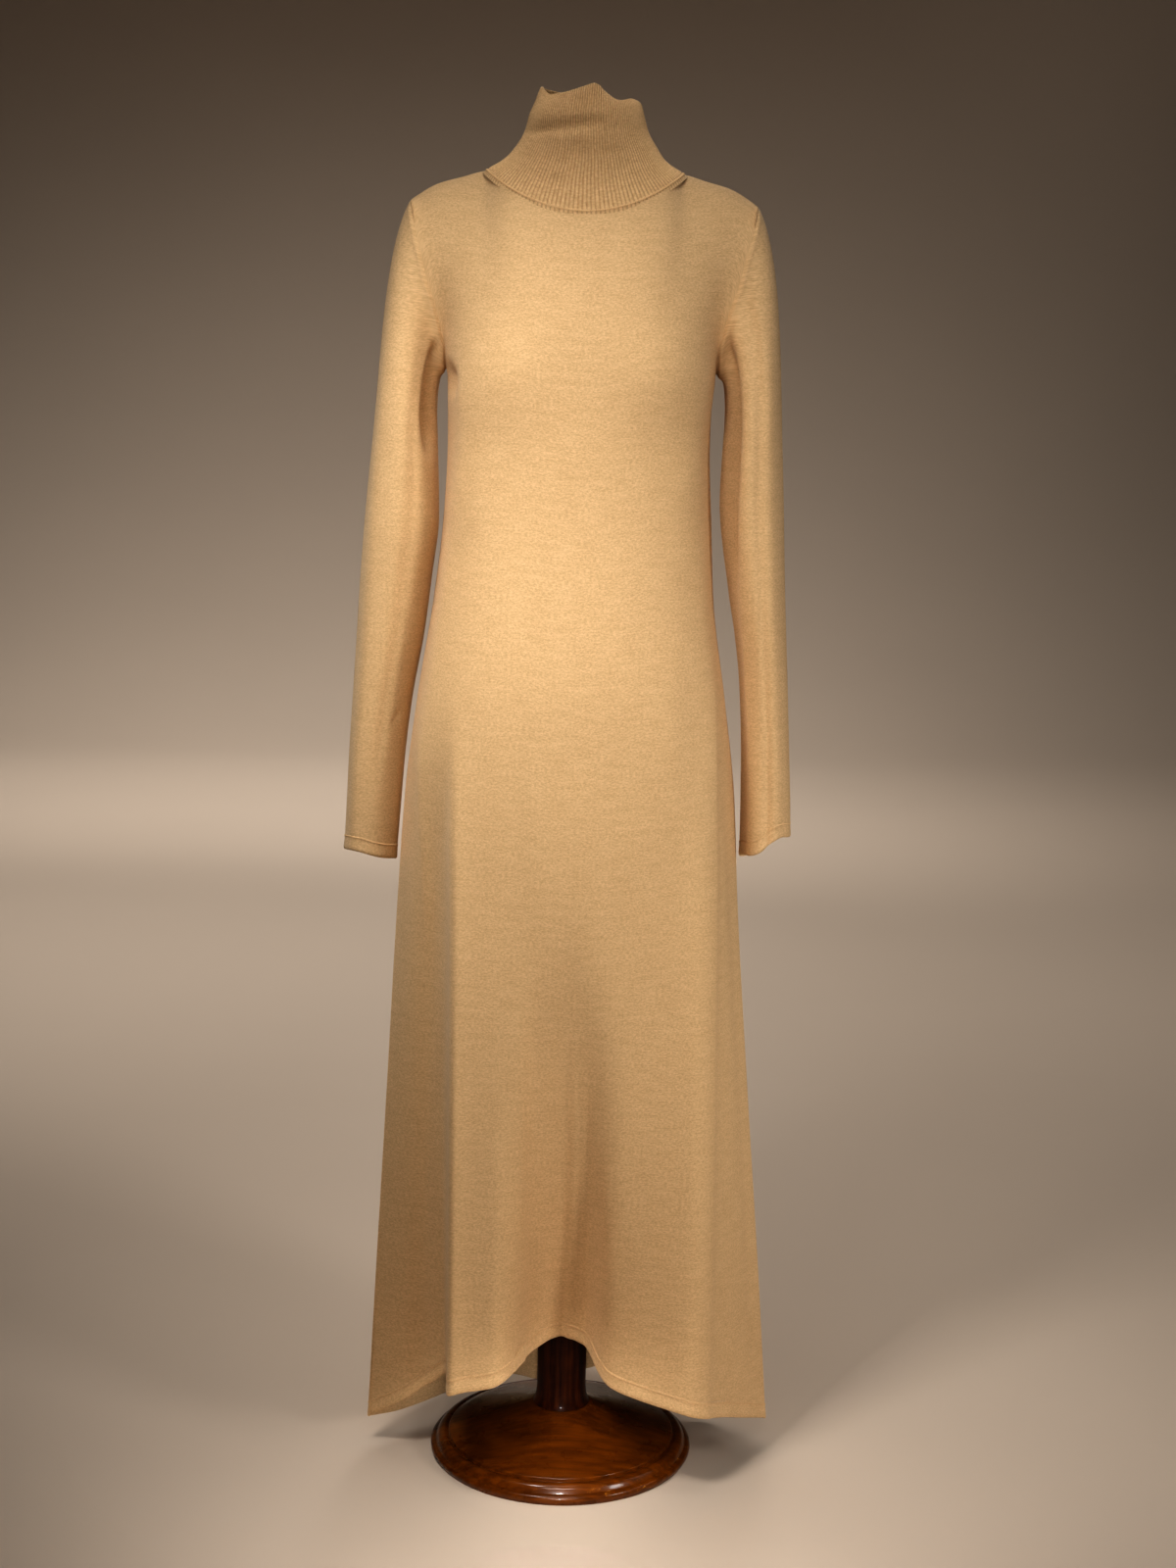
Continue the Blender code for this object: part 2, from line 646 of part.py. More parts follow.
def sleeve_line(table, hand, angle, share, cuff_z, armpit):
    """Point of a sleeve from the armhole (0) down to the cuff line (1) at one angle.

    armpit is how far the cloth runs outwards under the arm before it drops.
    """
    side = -1.0 if angle <= math.pi else 1.0
    turn = abs(1.0 - angle / math.pi)
    ring = armhole_point(turn, hand, side)
    top_z = 1.120
    split = 0.30
    goal = sleeve_section(table, hand, top_z, angle)
    if share <= split:
        part = share / split
        fall = np.linalg.norm(goal - ring)
        under = (1.0 - turn) ** 3
        out = np.array([hand * (0.25 + 0.24 * turn + 0.35 * math.sin(math.pi * turn)),
                        side * 0.10 * math.sin(math.pi * turn), -0.87])
        out = out / np.linalg.norm(out) * fall * 0.20
        out = out * (1.0 - under) + np.array([hand * 0.83, 0.0, -0.55]) * armpit * under
        down = goal - sleeve_section(table, hand, top_z - 0.05, angle)
        down = down / np.linalg.norm(down)
        return bezier(ring, ring + out, goal - down * fall * 0.36, goal, part)
    part = (share - split) / (1.0 - split)
    low = cuff_z(angle)
    return sleeve_section(table, hand, top_z + (low - top_z) * part, angle)


def cuff_drop(outer_z, inner_z, crisp):
    """Height of a cuff's edge round the turn; the body side hangs lower."""
    def height(angle):
        part = max(-1.0, min(1.0, crisp * math.cos(angle)))
        part = math.sin(math.pi / 2 * part)
        return (outer_z + inner_z) / 2 + (outer_z - inner_z) / 2 * part
    return height


def sleeve_angles():
    """Angles of the sleeve's columns; each meets a row of the armhole."""
    return [math.pi * i / CHEST_ROWS for i in range(2 * CHEST_ROWS)]


def around_axis(grid):
    """Direction away from the middle of each ring."""
    return grid - grid.mean(axis=1, keepdims=True)


def sleeve_sheets(table, hand, edge, armpit, wall):
    """Outer and inner sheets of a sleeve that stops above its cuff."""
    def stop(angle):
        return edge(angle) + CUFF_BAND + SEAM

    rows = []
    for step in range(SLEEVE_ROWS + 1):
        rows.append([sleeve_line(table, hand, angle, step / SLEEVE_ROWS, stop, armpit)
                     for angle in sleeve_angles()])
    grid = np.array(rows)
    normals = level_rows(grid_normals(grid, around_axis, wrap=True), (-1,))
    inward = -normals * wall
    outer = grid.copy()
    for j, angle in enumerate(sleeve_angles()):
        side = -1.0 if angle <= math.pi else 1.0
        turn = abs(1.0 - angle / math.pi)
        inward[0, j] = armhole_inward(turn, hand, side, -1.0) * wall
        outer[0, j, 0] += hand * SEAM * 0.7
    return outer, outer + inward


def cuff_sheets(table, hand, edge, wall):
    """Turned cuff: two rows on the sleeve's own lines, moved out a little."""
    rows = []
    for lift in (CUFF_BAND, 0.0):
        rows.append([sleeve_section(table, hand, edge(angle) + lift, angle)
                     for angle in sleeve_angles()])
    grid = np.array(rows)
    normals = level_rows(grid_normals(grid, around_axis, wrap=True), (0, 1))
    outer = grid + normals * PROUD
    return outer, outer - normals * wall


def collar_ring(row, angle):
    """Plain point of a collar ring; angle 0 is +X and 90 degrees the front."""
    x_min, x_max, front, back, z_front, z_side, z_back = row
    middle, half = (x_min + x_max) / 2, (x_max - x_min) / 2
    forward = math.sin(angle)
    depth = -front if forward > 0 else back
    height = z_front if forward > 0 else z_back
    shape = abs(forward) ** 1.85
    return np.array([middle + half * math.cos(angle), -depth * forward,
                     z_side + (height - z_side) * shape])


def neckline_edge():
    """Closed line of the panels' neckline: angles, outer points and directions inward."""
    angles, points, inward = [], [], []
    for lines, side in ((FRONT_LINES, -1.0), (BACK_LINES, 1.0)):
        outer, inner = bodice_sheets(lines, side, WALL)
        stops = np.interp(np.arange(outer.shape[1]) / PER_LINE, range(len(TOP_STOPS)), TOP_STOPS)
        for j in range(outer.shape[1]):
            if abs(stops[j]) > NECK_STOP:
                continue
            angle = math.acos(max(-1.0, min(1.0, outer[-1, j, 0] / NECK_HALF)))
            angles.append(angle if side < 0 else 2 * math.pi - angle)
            points.append(outer[-1, j])
            inward.append((inner[-1, j] - outer[-1, j]) / WALL)
    order = np.argsort(angles)
    return np.array(angles)[order], np.array(points)[order], np.array(inward)[order]


def along_neckline(angles):
    """Foot points of the collar and their inward directions, on the panels' own edge."""
    knots, points, inward = neckline_edge()
    knots = np.concatenate([knots[-1:] - 2 * math.pi, knots, knots[:1] + 2 * math.pi])
    points = np.concatenate([points[-1:], points, points[:1]])
    inward = np.concatenate([inward[-1:], inward, inward[:1]])
    foot = np.array([np.interp(angles, knots, points[:, axis]) for axis in range(3)]).T
    into = np.array([np.interp(angles, knots, inward[:, axis]) for axis in range(3)]).T
    into = into / np.linalg.norm(into, axis=1, keepdims=True)
    tangent = np.roll(foot, -1, axis=0) - np.roll(foot, 1, axis=0)
    rise = np.cross(into, tangent)
    rise = rise / np.linalg.norm(rise, axis=1, keepdims=True)
    rise = rise * np.sign(rise[:, 2:3])
    return foot, into, rise


def collar_sheets():
    """Outer sheet with raised ribs and plain inner sheet of the collar."""
    rim_angles = np.radians([row[0] for row in RIM])
    rim_lifts = np.array([[row[1]] for row in RIM])
    sheets = []
    for count, ribbed in ((RIBS * 2, True), (RIBS // 4, False)):
        angles = np.array([2 * math.pi * i / count for i in range(count)])
        foot, into, rise = along_neckline(angles)
        foot = foot + rise * SEAM * 1.5
        rings = [np.array([collar_ring(row, angle) for angle in angles]) for row in COLLAR]
        rings[-1][:, 2] += smooth(rim_lifts, rim_angles, angles)[:, 0]
        up = rings[0] - foot
        up = up / np.linalg.norm(up, axis=1, keepdims=True)
        grid = np.array([foot, foot + up * RIDGE_HEIGHT / 2, foot + up * RIDGE_HEIGHT] + rings)
        normals = grid_normals(grid, around_axis, wrap=True)
        if ribbed:
            lift = np.where(np.arange(count) % 2 == 0, RIB_HEIGHT, 0.0)[None, :, None]
            raised = grid + normals * lift
            raised[-1] = grid[-1] + normals[-1] * lift[0] * RIM_SHARE
            raised[0] = grid[0]
            raised[1] = grid[1] + normals[1] * RIDGE_PROUD
            sheets.append(raised)
        else:
            plain = grid - normals * COLLAR_WALL
            plain[0] = grid[0] + into * COLLAR_WALL + rise * 2 * SEAM
            sheets.append(np.delete(plain, 1, axis=0))
    return sheets


def form_mesh():
    """Closed smooth body of the form, from its flat foot to the top of its neck."""
    mesh = bmesh.new()
    sides = FORM_SIDES
    rings = []
    for z, half, front, back, power in FORM:
        ring = []
        for i in range(sides):
            angle = 2 * math.pi * i / sides
            c, s = math.cos(angle), math.sin(angle)
            x = half * math.copysign(abs(c) ** (2 / power), c)
            depth = front if s > 0 else back
            y = -depth * math.copysign(abs(s) ** (2 / power), s)
            ring.append(mesh.verts.new((x, y, z)))
        rings.append(ring)
    for low, high in zip(rings[:-1], rings[1:]):
        for i in range(sides):
            k = (i + 1) % sides
            mesh.faces.new((low[i], low[k], high[k], high[i]))
    mesh.faces.new(rings[0])
    mesh.faces.new(rings[-1])
    bmesh.ops.recalc_face_normals(mesh, faces=mesh.faces)
    data = bpy.data.meshes.new("form_torso")
    mesh.to_mesh(data)
    mesh.free()
    return data


def turned(name, profile, steps, material, collection):
    """Solid of revolution with a Screw modifier, flat at both ends."""
    points = [(0.0, profile[0][1])] + list(profile) + [(0.0, profile[-1][1])]
    data = bpy.data.meshes.new(name)
    data.from_pydata([(r, 0.0, z) for r, z in points],
                     [(i, i + 1) for i in range(len(points) - 1)], [])
    item = add_object(name, data, material, collection)
    screw = item.modifiers.new("turn", "SCREW")
    screw.axis = "Z"
    screw.angle = 2 * math.pi
    screw.steps = steps
    screw.render_steps = steps
    screw.use_merge_vertices = True
    screw.merge_threshold = 0.00001
    screw.use_smooth_shade = True
    return item


def build():
    """Build the dress, the form and the stand."""
    clear_scene()
    parts = make_collection(NAME)

    for word, lines, side in (("front", FRONT_LINES, -1.0), ("back", BACK_LINES, 1.0)):
        for name, sheets in ((f"{word}_skirt", skirt_sheets), (f"{word}_bodice", bodice_sheets)):
            outer, inner = sheets(lines, side, WALL)
            add_object(name, wall_mesh(name, outer, inner), f"camel_knit_{word}", parts)

    for name, lines, side, material in (
            ("hem_front", FRONT_LINES, -1.0, "camel_hem_front"),
            ("hem_back", BACK_LINES, 1.0, "camel_hem_back")):
        outer, inner = band_sheets(lines, side, BAND_WALL)
        add_object(name, wall_mesh(name, outer, inner), material, parts)

    edges = {"left": cuff_drop(0.7030, 0.6810, 1.5), "right": cuff_drop(0.6800, 0.6700, 1.0)}
    for word, table, hand, armpit in (("left", SLEEVE_LEFT, 1.0, 0.024),
                                      ("right", SLEEVE_RIGHT, -1.0, 0.016)):
        outer, inner = sleeve_sheets(table, hand, edges[word], armpit, WALL)
        add_object(f"sleeve_{word}", wall_mesh(f"sleeve_{word}", outer, inner, wrap=True),
                   f"camel_knit_sleeve_{word}", parts)
        outer, inner = cuff_sheets(table, hand, edges[word], BAND_WALL)
        add_object(f"cuff_{word}", wall_mesh(f"cuff_{word}", outer, inner, wrap=True),
                   f"camel_cuff_{word}", parts)

    outer, inner = collar_sheets()
    add_object("collar", wall_mesh("collar", outer, inner, wrap=True), "camel_rib", parts)

    add_object("form_torso", form_mesh(), "form_cover", parts)
    turned("post", POST_PROFILE, POST_STEPS, "dark_post_wood", parts)
    turned("base", BASE_PROFILE, BASE_STEPS, "dark_base_wood", parts)


if __name__ == "__main__":
    build()
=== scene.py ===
"""Looks of a long knitted sweater dress on a smooth form, a turned post and a round base.

Metres, +Z up, the dress's front towards -Y and the wearer's left towards +X, as in the
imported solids. Each cloth piece is a thin shell on its solid's form, with soft creases.
"""
from __future__ import annotations

import logging
import math
from dataclasses import asdict, dataclass, field
from enum import Enum
from typing import NamedTuple, Sequence

import bpy
import numpy as np
from mathutils import Matrix, Vector


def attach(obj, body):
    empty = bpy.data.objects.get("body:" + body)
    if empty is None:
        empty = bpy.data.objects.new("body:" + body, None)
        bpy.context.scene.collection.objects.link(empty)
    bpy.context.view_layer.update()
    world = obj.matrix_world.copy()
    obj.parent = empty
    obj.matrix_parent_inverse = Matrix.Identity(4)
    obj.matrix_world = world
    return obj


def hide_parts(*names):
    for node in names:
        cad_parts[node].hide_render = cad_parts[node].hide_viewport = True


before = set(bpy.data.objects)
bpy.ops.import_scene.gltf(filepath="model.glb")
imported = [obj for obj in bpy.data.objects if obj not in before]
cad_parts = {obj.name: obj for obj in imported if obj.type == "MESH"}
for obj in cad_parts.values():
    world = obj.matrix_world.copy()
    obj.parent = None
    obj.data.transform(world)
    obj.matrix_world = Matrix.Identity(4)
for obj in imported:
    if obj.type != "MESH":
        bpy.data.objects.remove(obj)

LOG = logging.getLogger("sweater_dress")
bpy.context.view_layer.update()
BODY = "root"
WEAVE = "weave"  # UV map of the cloth, in metres along and across the wales
OUT = "out"  # point attribute: direction out of the cloth
SEAM_DEPTH = 0.0007  # groove that a seam draws in the cloth
SEAM_WIDTH = 0.0022
NECK_POWER = 1.85  # above 1 the neckline rises late from its lowest point
RELAX_ROWS = 24.0  # rows over which a sheet starts to be evened out
BAND_TONE = 1.03  # turned edges are two layers thick and look a little paler
LEVEL_WAY = np.array([1.0, 1.0, 0.0])

Grid = np.ndarray
Pair = tuple[float, float]
Triple = tuple[float, float, float]
Profile = tuple[Pair, ...]
Piece = bpy.types.Object
Material = bpy.types.Material
Socket = bpy.types.NodeSocket


# --- curves and grids ---

def smooth(values: Grid, knots: Grid, at: Grid) -> Grid:
    """Curve through the values that never swings past its neighbours.

    Args:
        values: Rows of values, one for each knot.
        knots: Rising places of the rows.
        at: Places to read.

    Returns:
        One row of values for each place.
    """
    values = np.asarray(values, dtype=float)
    steps = np.maximum(np.diff(knots), 1e-9)
    slopes = np.diff(values, axis=0) / steps[:, None]
    tangents = np.zeros_like(values)
    if len(values) > 2:
        left, right = slopes[:-1], slopes[1:]
        w_left = (2 * steps[1:] + steps[:-1])[:, None]
        w_right = (steps[1:] + 2 * steps[:-1])[:, None]
        same = (left * right) > 0
        safe_left = np.where(same, left, 1.0)
        safe_right = np.where(same, right, 1.0)
        mean = (w_left + w_right) / (w_left / safe_left + w_right / safe_right)
        tangents[1:-1] = np.where(same, mean, 0.0)
    tangents[0], tangents[-1] = slopes[0], slopes[-1]
    at = np.clip(at, knots[0], knots[-1])
    cell = np.clip(np.searchsorted(knots, at, side="right") - 1, 0, len(knots) - 2)
    part = ((at - knots[cell]) / steps[cell])[:, None]
    square, cube = part ** 2, part ** 3
    width = steps[cell][:, None]
    return ((2 * cube - 3 * square + 1) * values[cell]
            + (cube - 2 * square + part) * width * tangents[cell]
            + (-2 * cube + 3 * square) * values[cell + 1]
            + (cube - square) * width * tangents[cell + 1])


def read(table: Sequence[NamedTuple], column: str, z: Grid) -> Grid:
    """Column of a table of level sections at some heights.

    Args:
        table: Rows with a z field.
        column: Name of the field to read.
        z: Heights.

    Returns:
        The column's value at each height.
    """
    rows = sorted(table, key=lambda row: row.z)
    heights = np.array([row.z for row in rows])
    values = np.array([[getattr(row, column)] for row in rows])
    return smooth(values, heights, np.atleast_1d(z))[:, 0]


def unit(vectors: Grid) -> Grid:
    """Vectors of length one along the last axis."""
    length = np.linalg.norm(vectors, axis=-1, keepdims=True)
    return vectors / np.where(length < 1e-12, 1.0, length)


def running(steps: Grid) -> Grid:
    """Distance before each step, and of all the steps."""
    return np.concatenate([[0.0], np.cumsum(steps)])


def paired(first: Grid, second: Grid) -> Grid:
    """Pairs of numbers, each array repeated over the other."""
    return np.stack(np.broadcast_arrays(first, second), axis=-1)


def closed_rows(grid: Grid) -> Grid:
    """Grid with its first column once more at the end."""
    return np.concatenate([grid, grid[:, :1]], axis=1)


def ease(value: Grid) -> Grid:
    """Smooth step from 0 to 1."""
    value = np.clip(value, 0.0, 1.0)
    return value * value * (3.0 - 2.0 * value)


def bezier(start: Grid, near: Grid, far: Grid, end: Grid, part: Grid) -> Grid:
    """Points of a cubic at each part of its way."""
    t = np.asarray(part, dtype=float)[:, None]
    return (start * (1 - t) ** 3 + near * 3 * t * (1 - t) ** 2
            + far * 3 * t ** 2 * (1 - t) + end * t ** 3)


def soften(rows: Grid, reach: int) -> Grid:
    """Round off bends along the first axis and keep both ends where they are.

    Args:
        rows: Points whose first axis runs along the cloth.
        reach: Rows on each side that take part.

    Returns:
        The softened points.
    """
    weights = np.exp(-0.5 * (np.arange(-reach, reach + 1) / (reach / 2.0)) ** 2)
    weights /= weights.sum()
    before = 2 * rows[:1] - rows[reach:0:-1]
    after = 2 * rows[-1:] - rows[-2:-reach - 2:-1]
    padded = np.concatenate([before, rows, after])
    count = len(rows)
    return sum(weight * padded[i:i + count] for i, weight in enumerate(weights))


def grid_normals(grid: Grid, outward: Grid, wrap: bool = False) -> Grid:
    """Unit normals of a grid of points.

    Args:
        grid: Points as rows and columns.
        outward: Vectors that point roughly outwards at each point.
        wrap: Whether the last column is next to the first.

    Returns:
        A normal for each point, on the outward side.
    """
    if wrap:
        along = np.roll(grid, -1, axis=1) - np.roll(grid, 1, axis=1)
    else:
        along = np.gradient(grid, axis=1)
    normal = unit(np.cross(along, np.gradient(grid, axis=0)))
    flip = np.sum(normal * outward, axis=2, keepdims=True) < 0
    return np.where(flip, -normal, normal)


def ring_normals(grid: Grid) -> Grid:
    """Unit normals of a sheet that closes on itself, away from its middle line."""
    return grid_normals(grid, grid - grid.mean(axis=1, keepdims=True), wrap=True)


def relax(grid: Grid, first_row: int, passes: int) -> Grid:
    """Even out a sheet above a row and keep its border where it is.

    Args:
        grid: Points as rows and columns.
        first_row: Row from which the sheet is evened out, more and more.
        passes: How often each point moves towards its neighbours.

    Returns:
        The evened points.
    """
    grid = grid.copy()
    weight = 0.5 * ease((np.arange(len(grid)) - first_row) / RELAX_ROWS)[1:-1, None, None]
    for _ in range(passes):
        mean = (grid[:-2, 1:-1] + grid[2:, 1:-1] + grid[1:-1, :-2] + grid[1:-1, 2:]) / 4
        grid[1:-1, 1:-1] += weight * (mean - grid[1:-1, 1:-1])
    return grid


def arc_lengths(grid: Grid, axis: int) -> Grid:
    """Distance along an axis of a grid from its first point.

    Args:
        grid: Points as rows and columns.
        axis: 0 along the columns, 1 along the rows.

    Returns:
        The distance at each point.
    """
    steps = np.linalg.norm(np.diff(grid, axis=axis), axis=2)
    zero = np.zeros_like(np.take(steps, [0], axis=axis))
    return np.concatenate([zero, np.cumsum(steps, axis=axis)], axis=axis)


def cloth_places(grid: Grid, climb: Grid) -> Grid:
    """Cloth coordinates: level distance from the middle column, and the height given.

    Args:
        grid: Points as rows and columns.
        climb: Height of each point along the cloth.

    Returns:
        The pair of coordinates of each point.
    """
    level = arc_lengths(grid * LEVEL_WAY, 1)
    middle = grid.shape[1] // 2
    return np.stack([level - level[:, middle:middle + 1], climb], axis=-1)


class Crease(NamedTuple):
    """Soft ridge or trough along a path on the cloth's plane.

    path holds the points (across, height) in metres; a single point is a round swell.
    """

    path: Profile
    rise: float  # above the cloth, or below it where negative
    width: float  # half width on the path's left side
    other_width: float  # half width on its right side
    fade: float = 0.3  # share of the path over which each end dies away


def stroke(places: Grid, path: Grid) -> tuple[Grid, Grid]:
    """Distance of places from a path, and how far along it they lie.

    Args:
        places: Points on the cloth's plane, (..., 2).
        path: Points of the path, (n, 2).

    Returns:
        The signed distance, and the share of the path's length at the nearest point.
    """
    if len(path) == 1:
        return np.linalg.norm(places - path[0], axis=-1), np.full(places.shape[:-1], 0.5)
    lengths = np.linalg.norm(np.diff(path, axis=0), axis=1)
    starts = running(lengths)
    best = np.full(places.shape[:-1], 1e9)
    signed = np.zeros_like(best)
    along = np.zeros_like(best)
    for a, b, length, start in zip(path[:-1], path[1:], lengths, starts):
        way = (b - a) / length
        offset = places - a
        run = np.clip(offset @ way, 0.0, length)
        gap = offset - run[..., None] * way
        distance = np.linalg.norm(gap, axis=-1)
        closer = distance < best
        best = np.where(closer, distance, best)
        side = way[0] * offset[..., 1] - way[1] * offset[..., 0]
        signed = np.where(closer, np.copysign(distance, side), signed)
        along = np.where(closer, (start + run) / starts[-1], along)
    return signed, along


def crease_rise(creases: Sequence[Crease], places: Grid) -> Grid:
    """How far the creases lift each place of the cloth.

    Args:
        creases: Ridges, troughs and swells.
        places: Points on the cloth's plane, (..., 2).

    Returns:
        The lift at each place, in metres.
    """
    lift = np.zeros(places.shape[:-1])
    for crease in creases:
        distance, along = stroke(places, np.array(crease.path))
        width = np.where(distance > 0, crease.width, crease.other_width)
        ends = ease(along / crease.fade) * ease((1.0 - along) / crease.fade)
        if len(crease.path) == 1:
            ends = 1.0
        lift += crease.rise * np.exp(-(distance / width) ** 2) * ends
    return lift


# --- meshes ---

def make_piece(name: str, points: Grid, faces: Sequence[Sequence[int]],
               weave: Grid | None = None, crisp: float = 50.0) -> Piece:
    """Object of a mesh at the origin.

    Args:
        name: Name of the piece.
        points: Its points.
        faces: Its faces as point numbers.
        weave: Cloth coordinates for each corner of each face, in the faces' order.
        crisp: Angle in degrees past which an edge shows as sharp.

    Returns:
        The linked object.
    """
    mesh = bpy.data.meshes.new(name)
    mesh.from_pydata([tuple(point) for point in points], [], faces)
    if weave is not None:
        layer = mesh.uv_layers.new(name=WEAVE)
        layer.data.foreach_set("uv", np.asarray(weave, dtype=np.float32).ravel())
    mesh.polygons.foreach_set("use_smooth", np.ones(len(mesh.polygons), dtype=bool))
    mesh.set_sharp_from_angle(angle=math.radians(crisp))
    mesh.update()
    piece = bpy.data.objects.new(name, mesh)
    bpy.context.scene.collection.objects.link(piece)
    return piece


def quad_strip(first: Grid, second: Grid, closed: bool) -> Grid:
    """Quads between two lines of point numbers."""
    if closed:
        first, second = np.append(first, first[0]), np.append(second, second[0])
    return np.stack([first[:-1], first[1:], second[1:], second[:-1]], axis=-1)


def cloth_wall(name: str, outer: Grid, normals: Grid, weave: Grid, thickness: float,
               wrap: bool = False) -> Piece:
    """Closed thin wall under an outer sheet, with its inner sheet at half the density.

    Args:
        name: Name of the piece.
        outer: Outer points; both counts less one are even, or the columns if they wrap.
        normals: Directions out of the cloth.
        weave: Cloth coordinates of the outer points; a wrapped sheet has one column more.
        thickness: Thickness of the wall.
        wrap: Whether the last column is next to the first.

    Returns:
        The linked object.
    """
    rows, cols = outer.shape[:2]
    inner = (outer - normals * thickness)[::2, ::2]
    points = np.concatenate([outer.reshape(-1, 3), inner.reshape(-1, 3)])
    out_ids = np.arange(rows * cols).reshape(rows, cols)
    in_ids = rows * cols + np.arange(inner.size // 3).reshape(inner.shape[:2])
    if wrap:
        out_ids, in_ids = closed_rows(out_ids), closed_rows(in_ids)
    faces: list[list[int]] = []
    uvs: list[Grid] = []

    for ids, uv, way in ((out_ids, weave, 1), (in_ids, weave[::2, ::2], -1)):
        quads = np.stack([ids[:-1, :-1], ids[:-1, 1:], ids[1:, 1:], ids[1:, :-1]], axis=-1)
        places = np.stack([uv[:-1, :-1], uv[:-1, 1:], uv[1:, 1:], uv[1:, :-1]], axis=2)
        faces.extend(quads[..., ::way].reshape(-1, 4).tolist())
        uvs.append(places[:, :, ::way].reshape(-1, 2))
    rims = [(out_ids[0], in_ids[0], weave[0], -1), (out_ids[-1], in_ids[-1], weave[-1], 1)]
    if not wrap:
        rims += [(out_ids[:, 0], in_ids[:, 0], weave[:, 0], 1),
                 (out_ids[:, -1], in_ids[:, -1], weave[:, -1], -1)]
    # fans join two outer edges of a rim to one inner edge
    for out_line, in_line, uv_line, way in rims:
        for i in range(0, len(out_line) - 1, 2):
            a, b, c = out_line[i:i + 3]
            d, e = in_line[i // 2:i // 2 + 2]
            for face, corners in (((a, b, d), (i, i + 1, i)), ((b, e, d), (i + 1, i + 2, i)),
                                  ((b, c, e), (i + 1, i + 2, i + 2))):
                faces.append([int(point) for point in face[::way]])
                uvs.append(uv_line[list(corners[::way])])
    return outwards(make_piece(name, points, faces, np.concatenate(uvs)))


def outwards(piece: Piece) -> Piece:
    """Turn a closed piece's faces outwards where its volume comes out negative.

    Args:
        piece: The piece.

    Returns:
        The same piece.
    """
    mesh = piece.data
    mesh.calc_loop_triangles()
    corners = np.array([tri.vertices[:] for tri in mesh.loop_triangles])
    places = np.array([vert.co[:] for vert in mesh.vertices])
    a, b, c = (places[corners[:, k]] for k in range(3))
    if float((a * np.cross(b, c)).sum()) < 0:
        mesh.flip_normals()
    return piece


def band_loop(name: str, lines: Grid, weave: Grid, wrap: bool, crisp: float = 70.0) -> Piece:
    """Closed band whose cross-section is a loop of lines, such as a turned hem.

    Args:
        name: Name of the piece.
        lines: The loop's lines, (lines, points, 3).
        weave: Cloth coordinates of the lines; a wrapped band has one column more.
        wrap: Whether the band closes on itself lengthwise.
        crisp: Angle in degrees past which an edge shows as sharp.

    Returns:
        The linked object.
    """
    count, length = lines.shape[:2]
    ids = np.arange(count * length).reshape(count, length)
    faces: list[list[int]] = []
    uvs: list[Grid] = []
    for row in range(count):
        after = (row + 1) % count
        faces.extend(quad_strip(ids[row], ids[after], wrap).tolist())
        first, second = weave[row], weave[after]
        uvs.append(np.stack([first[:-1], first[1:], second[1:], second[:-1]], axis=1)
                   .reshape(-1, 2))
    if not wrap:
        for column, order in ((0, 1), (length - 1, -1)):
            faces.append(ids[:, column][::order].tolist())
            uvs.append(weave[:, column][::order])
    return outwards(make_piece(name, lines.reshape(-1, 3), faces, np.concatenate(uvs), crisp))


def closed_tube(name: str, rings: Grid, crisp: float) -> Piece:
    """Solid through level rings, with a flat face at each end.

    Args:
        name: Name of the piece.
        rings: Points as rings from the foot up.
        crisp: Angle in degrees past which an edge shows as sharp.

    Returns:
        The linked object.
    """
    ids = np.arange(rings.shape[0] * rings.shape[1]).reshape(rings.shape[:2])
    faces = [face for low, high in zip(ids[:-1], ids[1:])
             for face in quad_strip(low, high, True).tolist()]
    faces += [ids[0][::-1].tolist(), ids[-1].tolist()]
    return outwards(make_piece(name, rings.reshape(-1, 3), faces, None, crisp))


class Edge(NamedTuple):
    """Lower edge of a piece of cloth, its ways up the cloth and level ways out of it."""

    points: Grid
    rise: Grid
    level: Grid

    def line(self, height: float, stand: float) -> Grid:
        """Line at a height above the edge that stands out of the cloth."""
        return self.points + self.rise * height + self.level * stand

    def band(self, name: str, profile: Profile, across: Grid, wrap: bool) -> Piece:
        """Turned band along the edge.

        Args:
            name: Name of the piece.
            profile: Its section: heights above the edge and distances out of the cloth.
            across: Cloth coordinates of the edge's points.
            wrap: Whether the edge closes on itself.

        Returns:
            The band.
        """
        lines = np.array([self.line(height, stand) for height, stand in profile])
        return band_loop(name, lines, paired(across, np.array(profile)[:, :1]), wrap)


# --- node trees ---

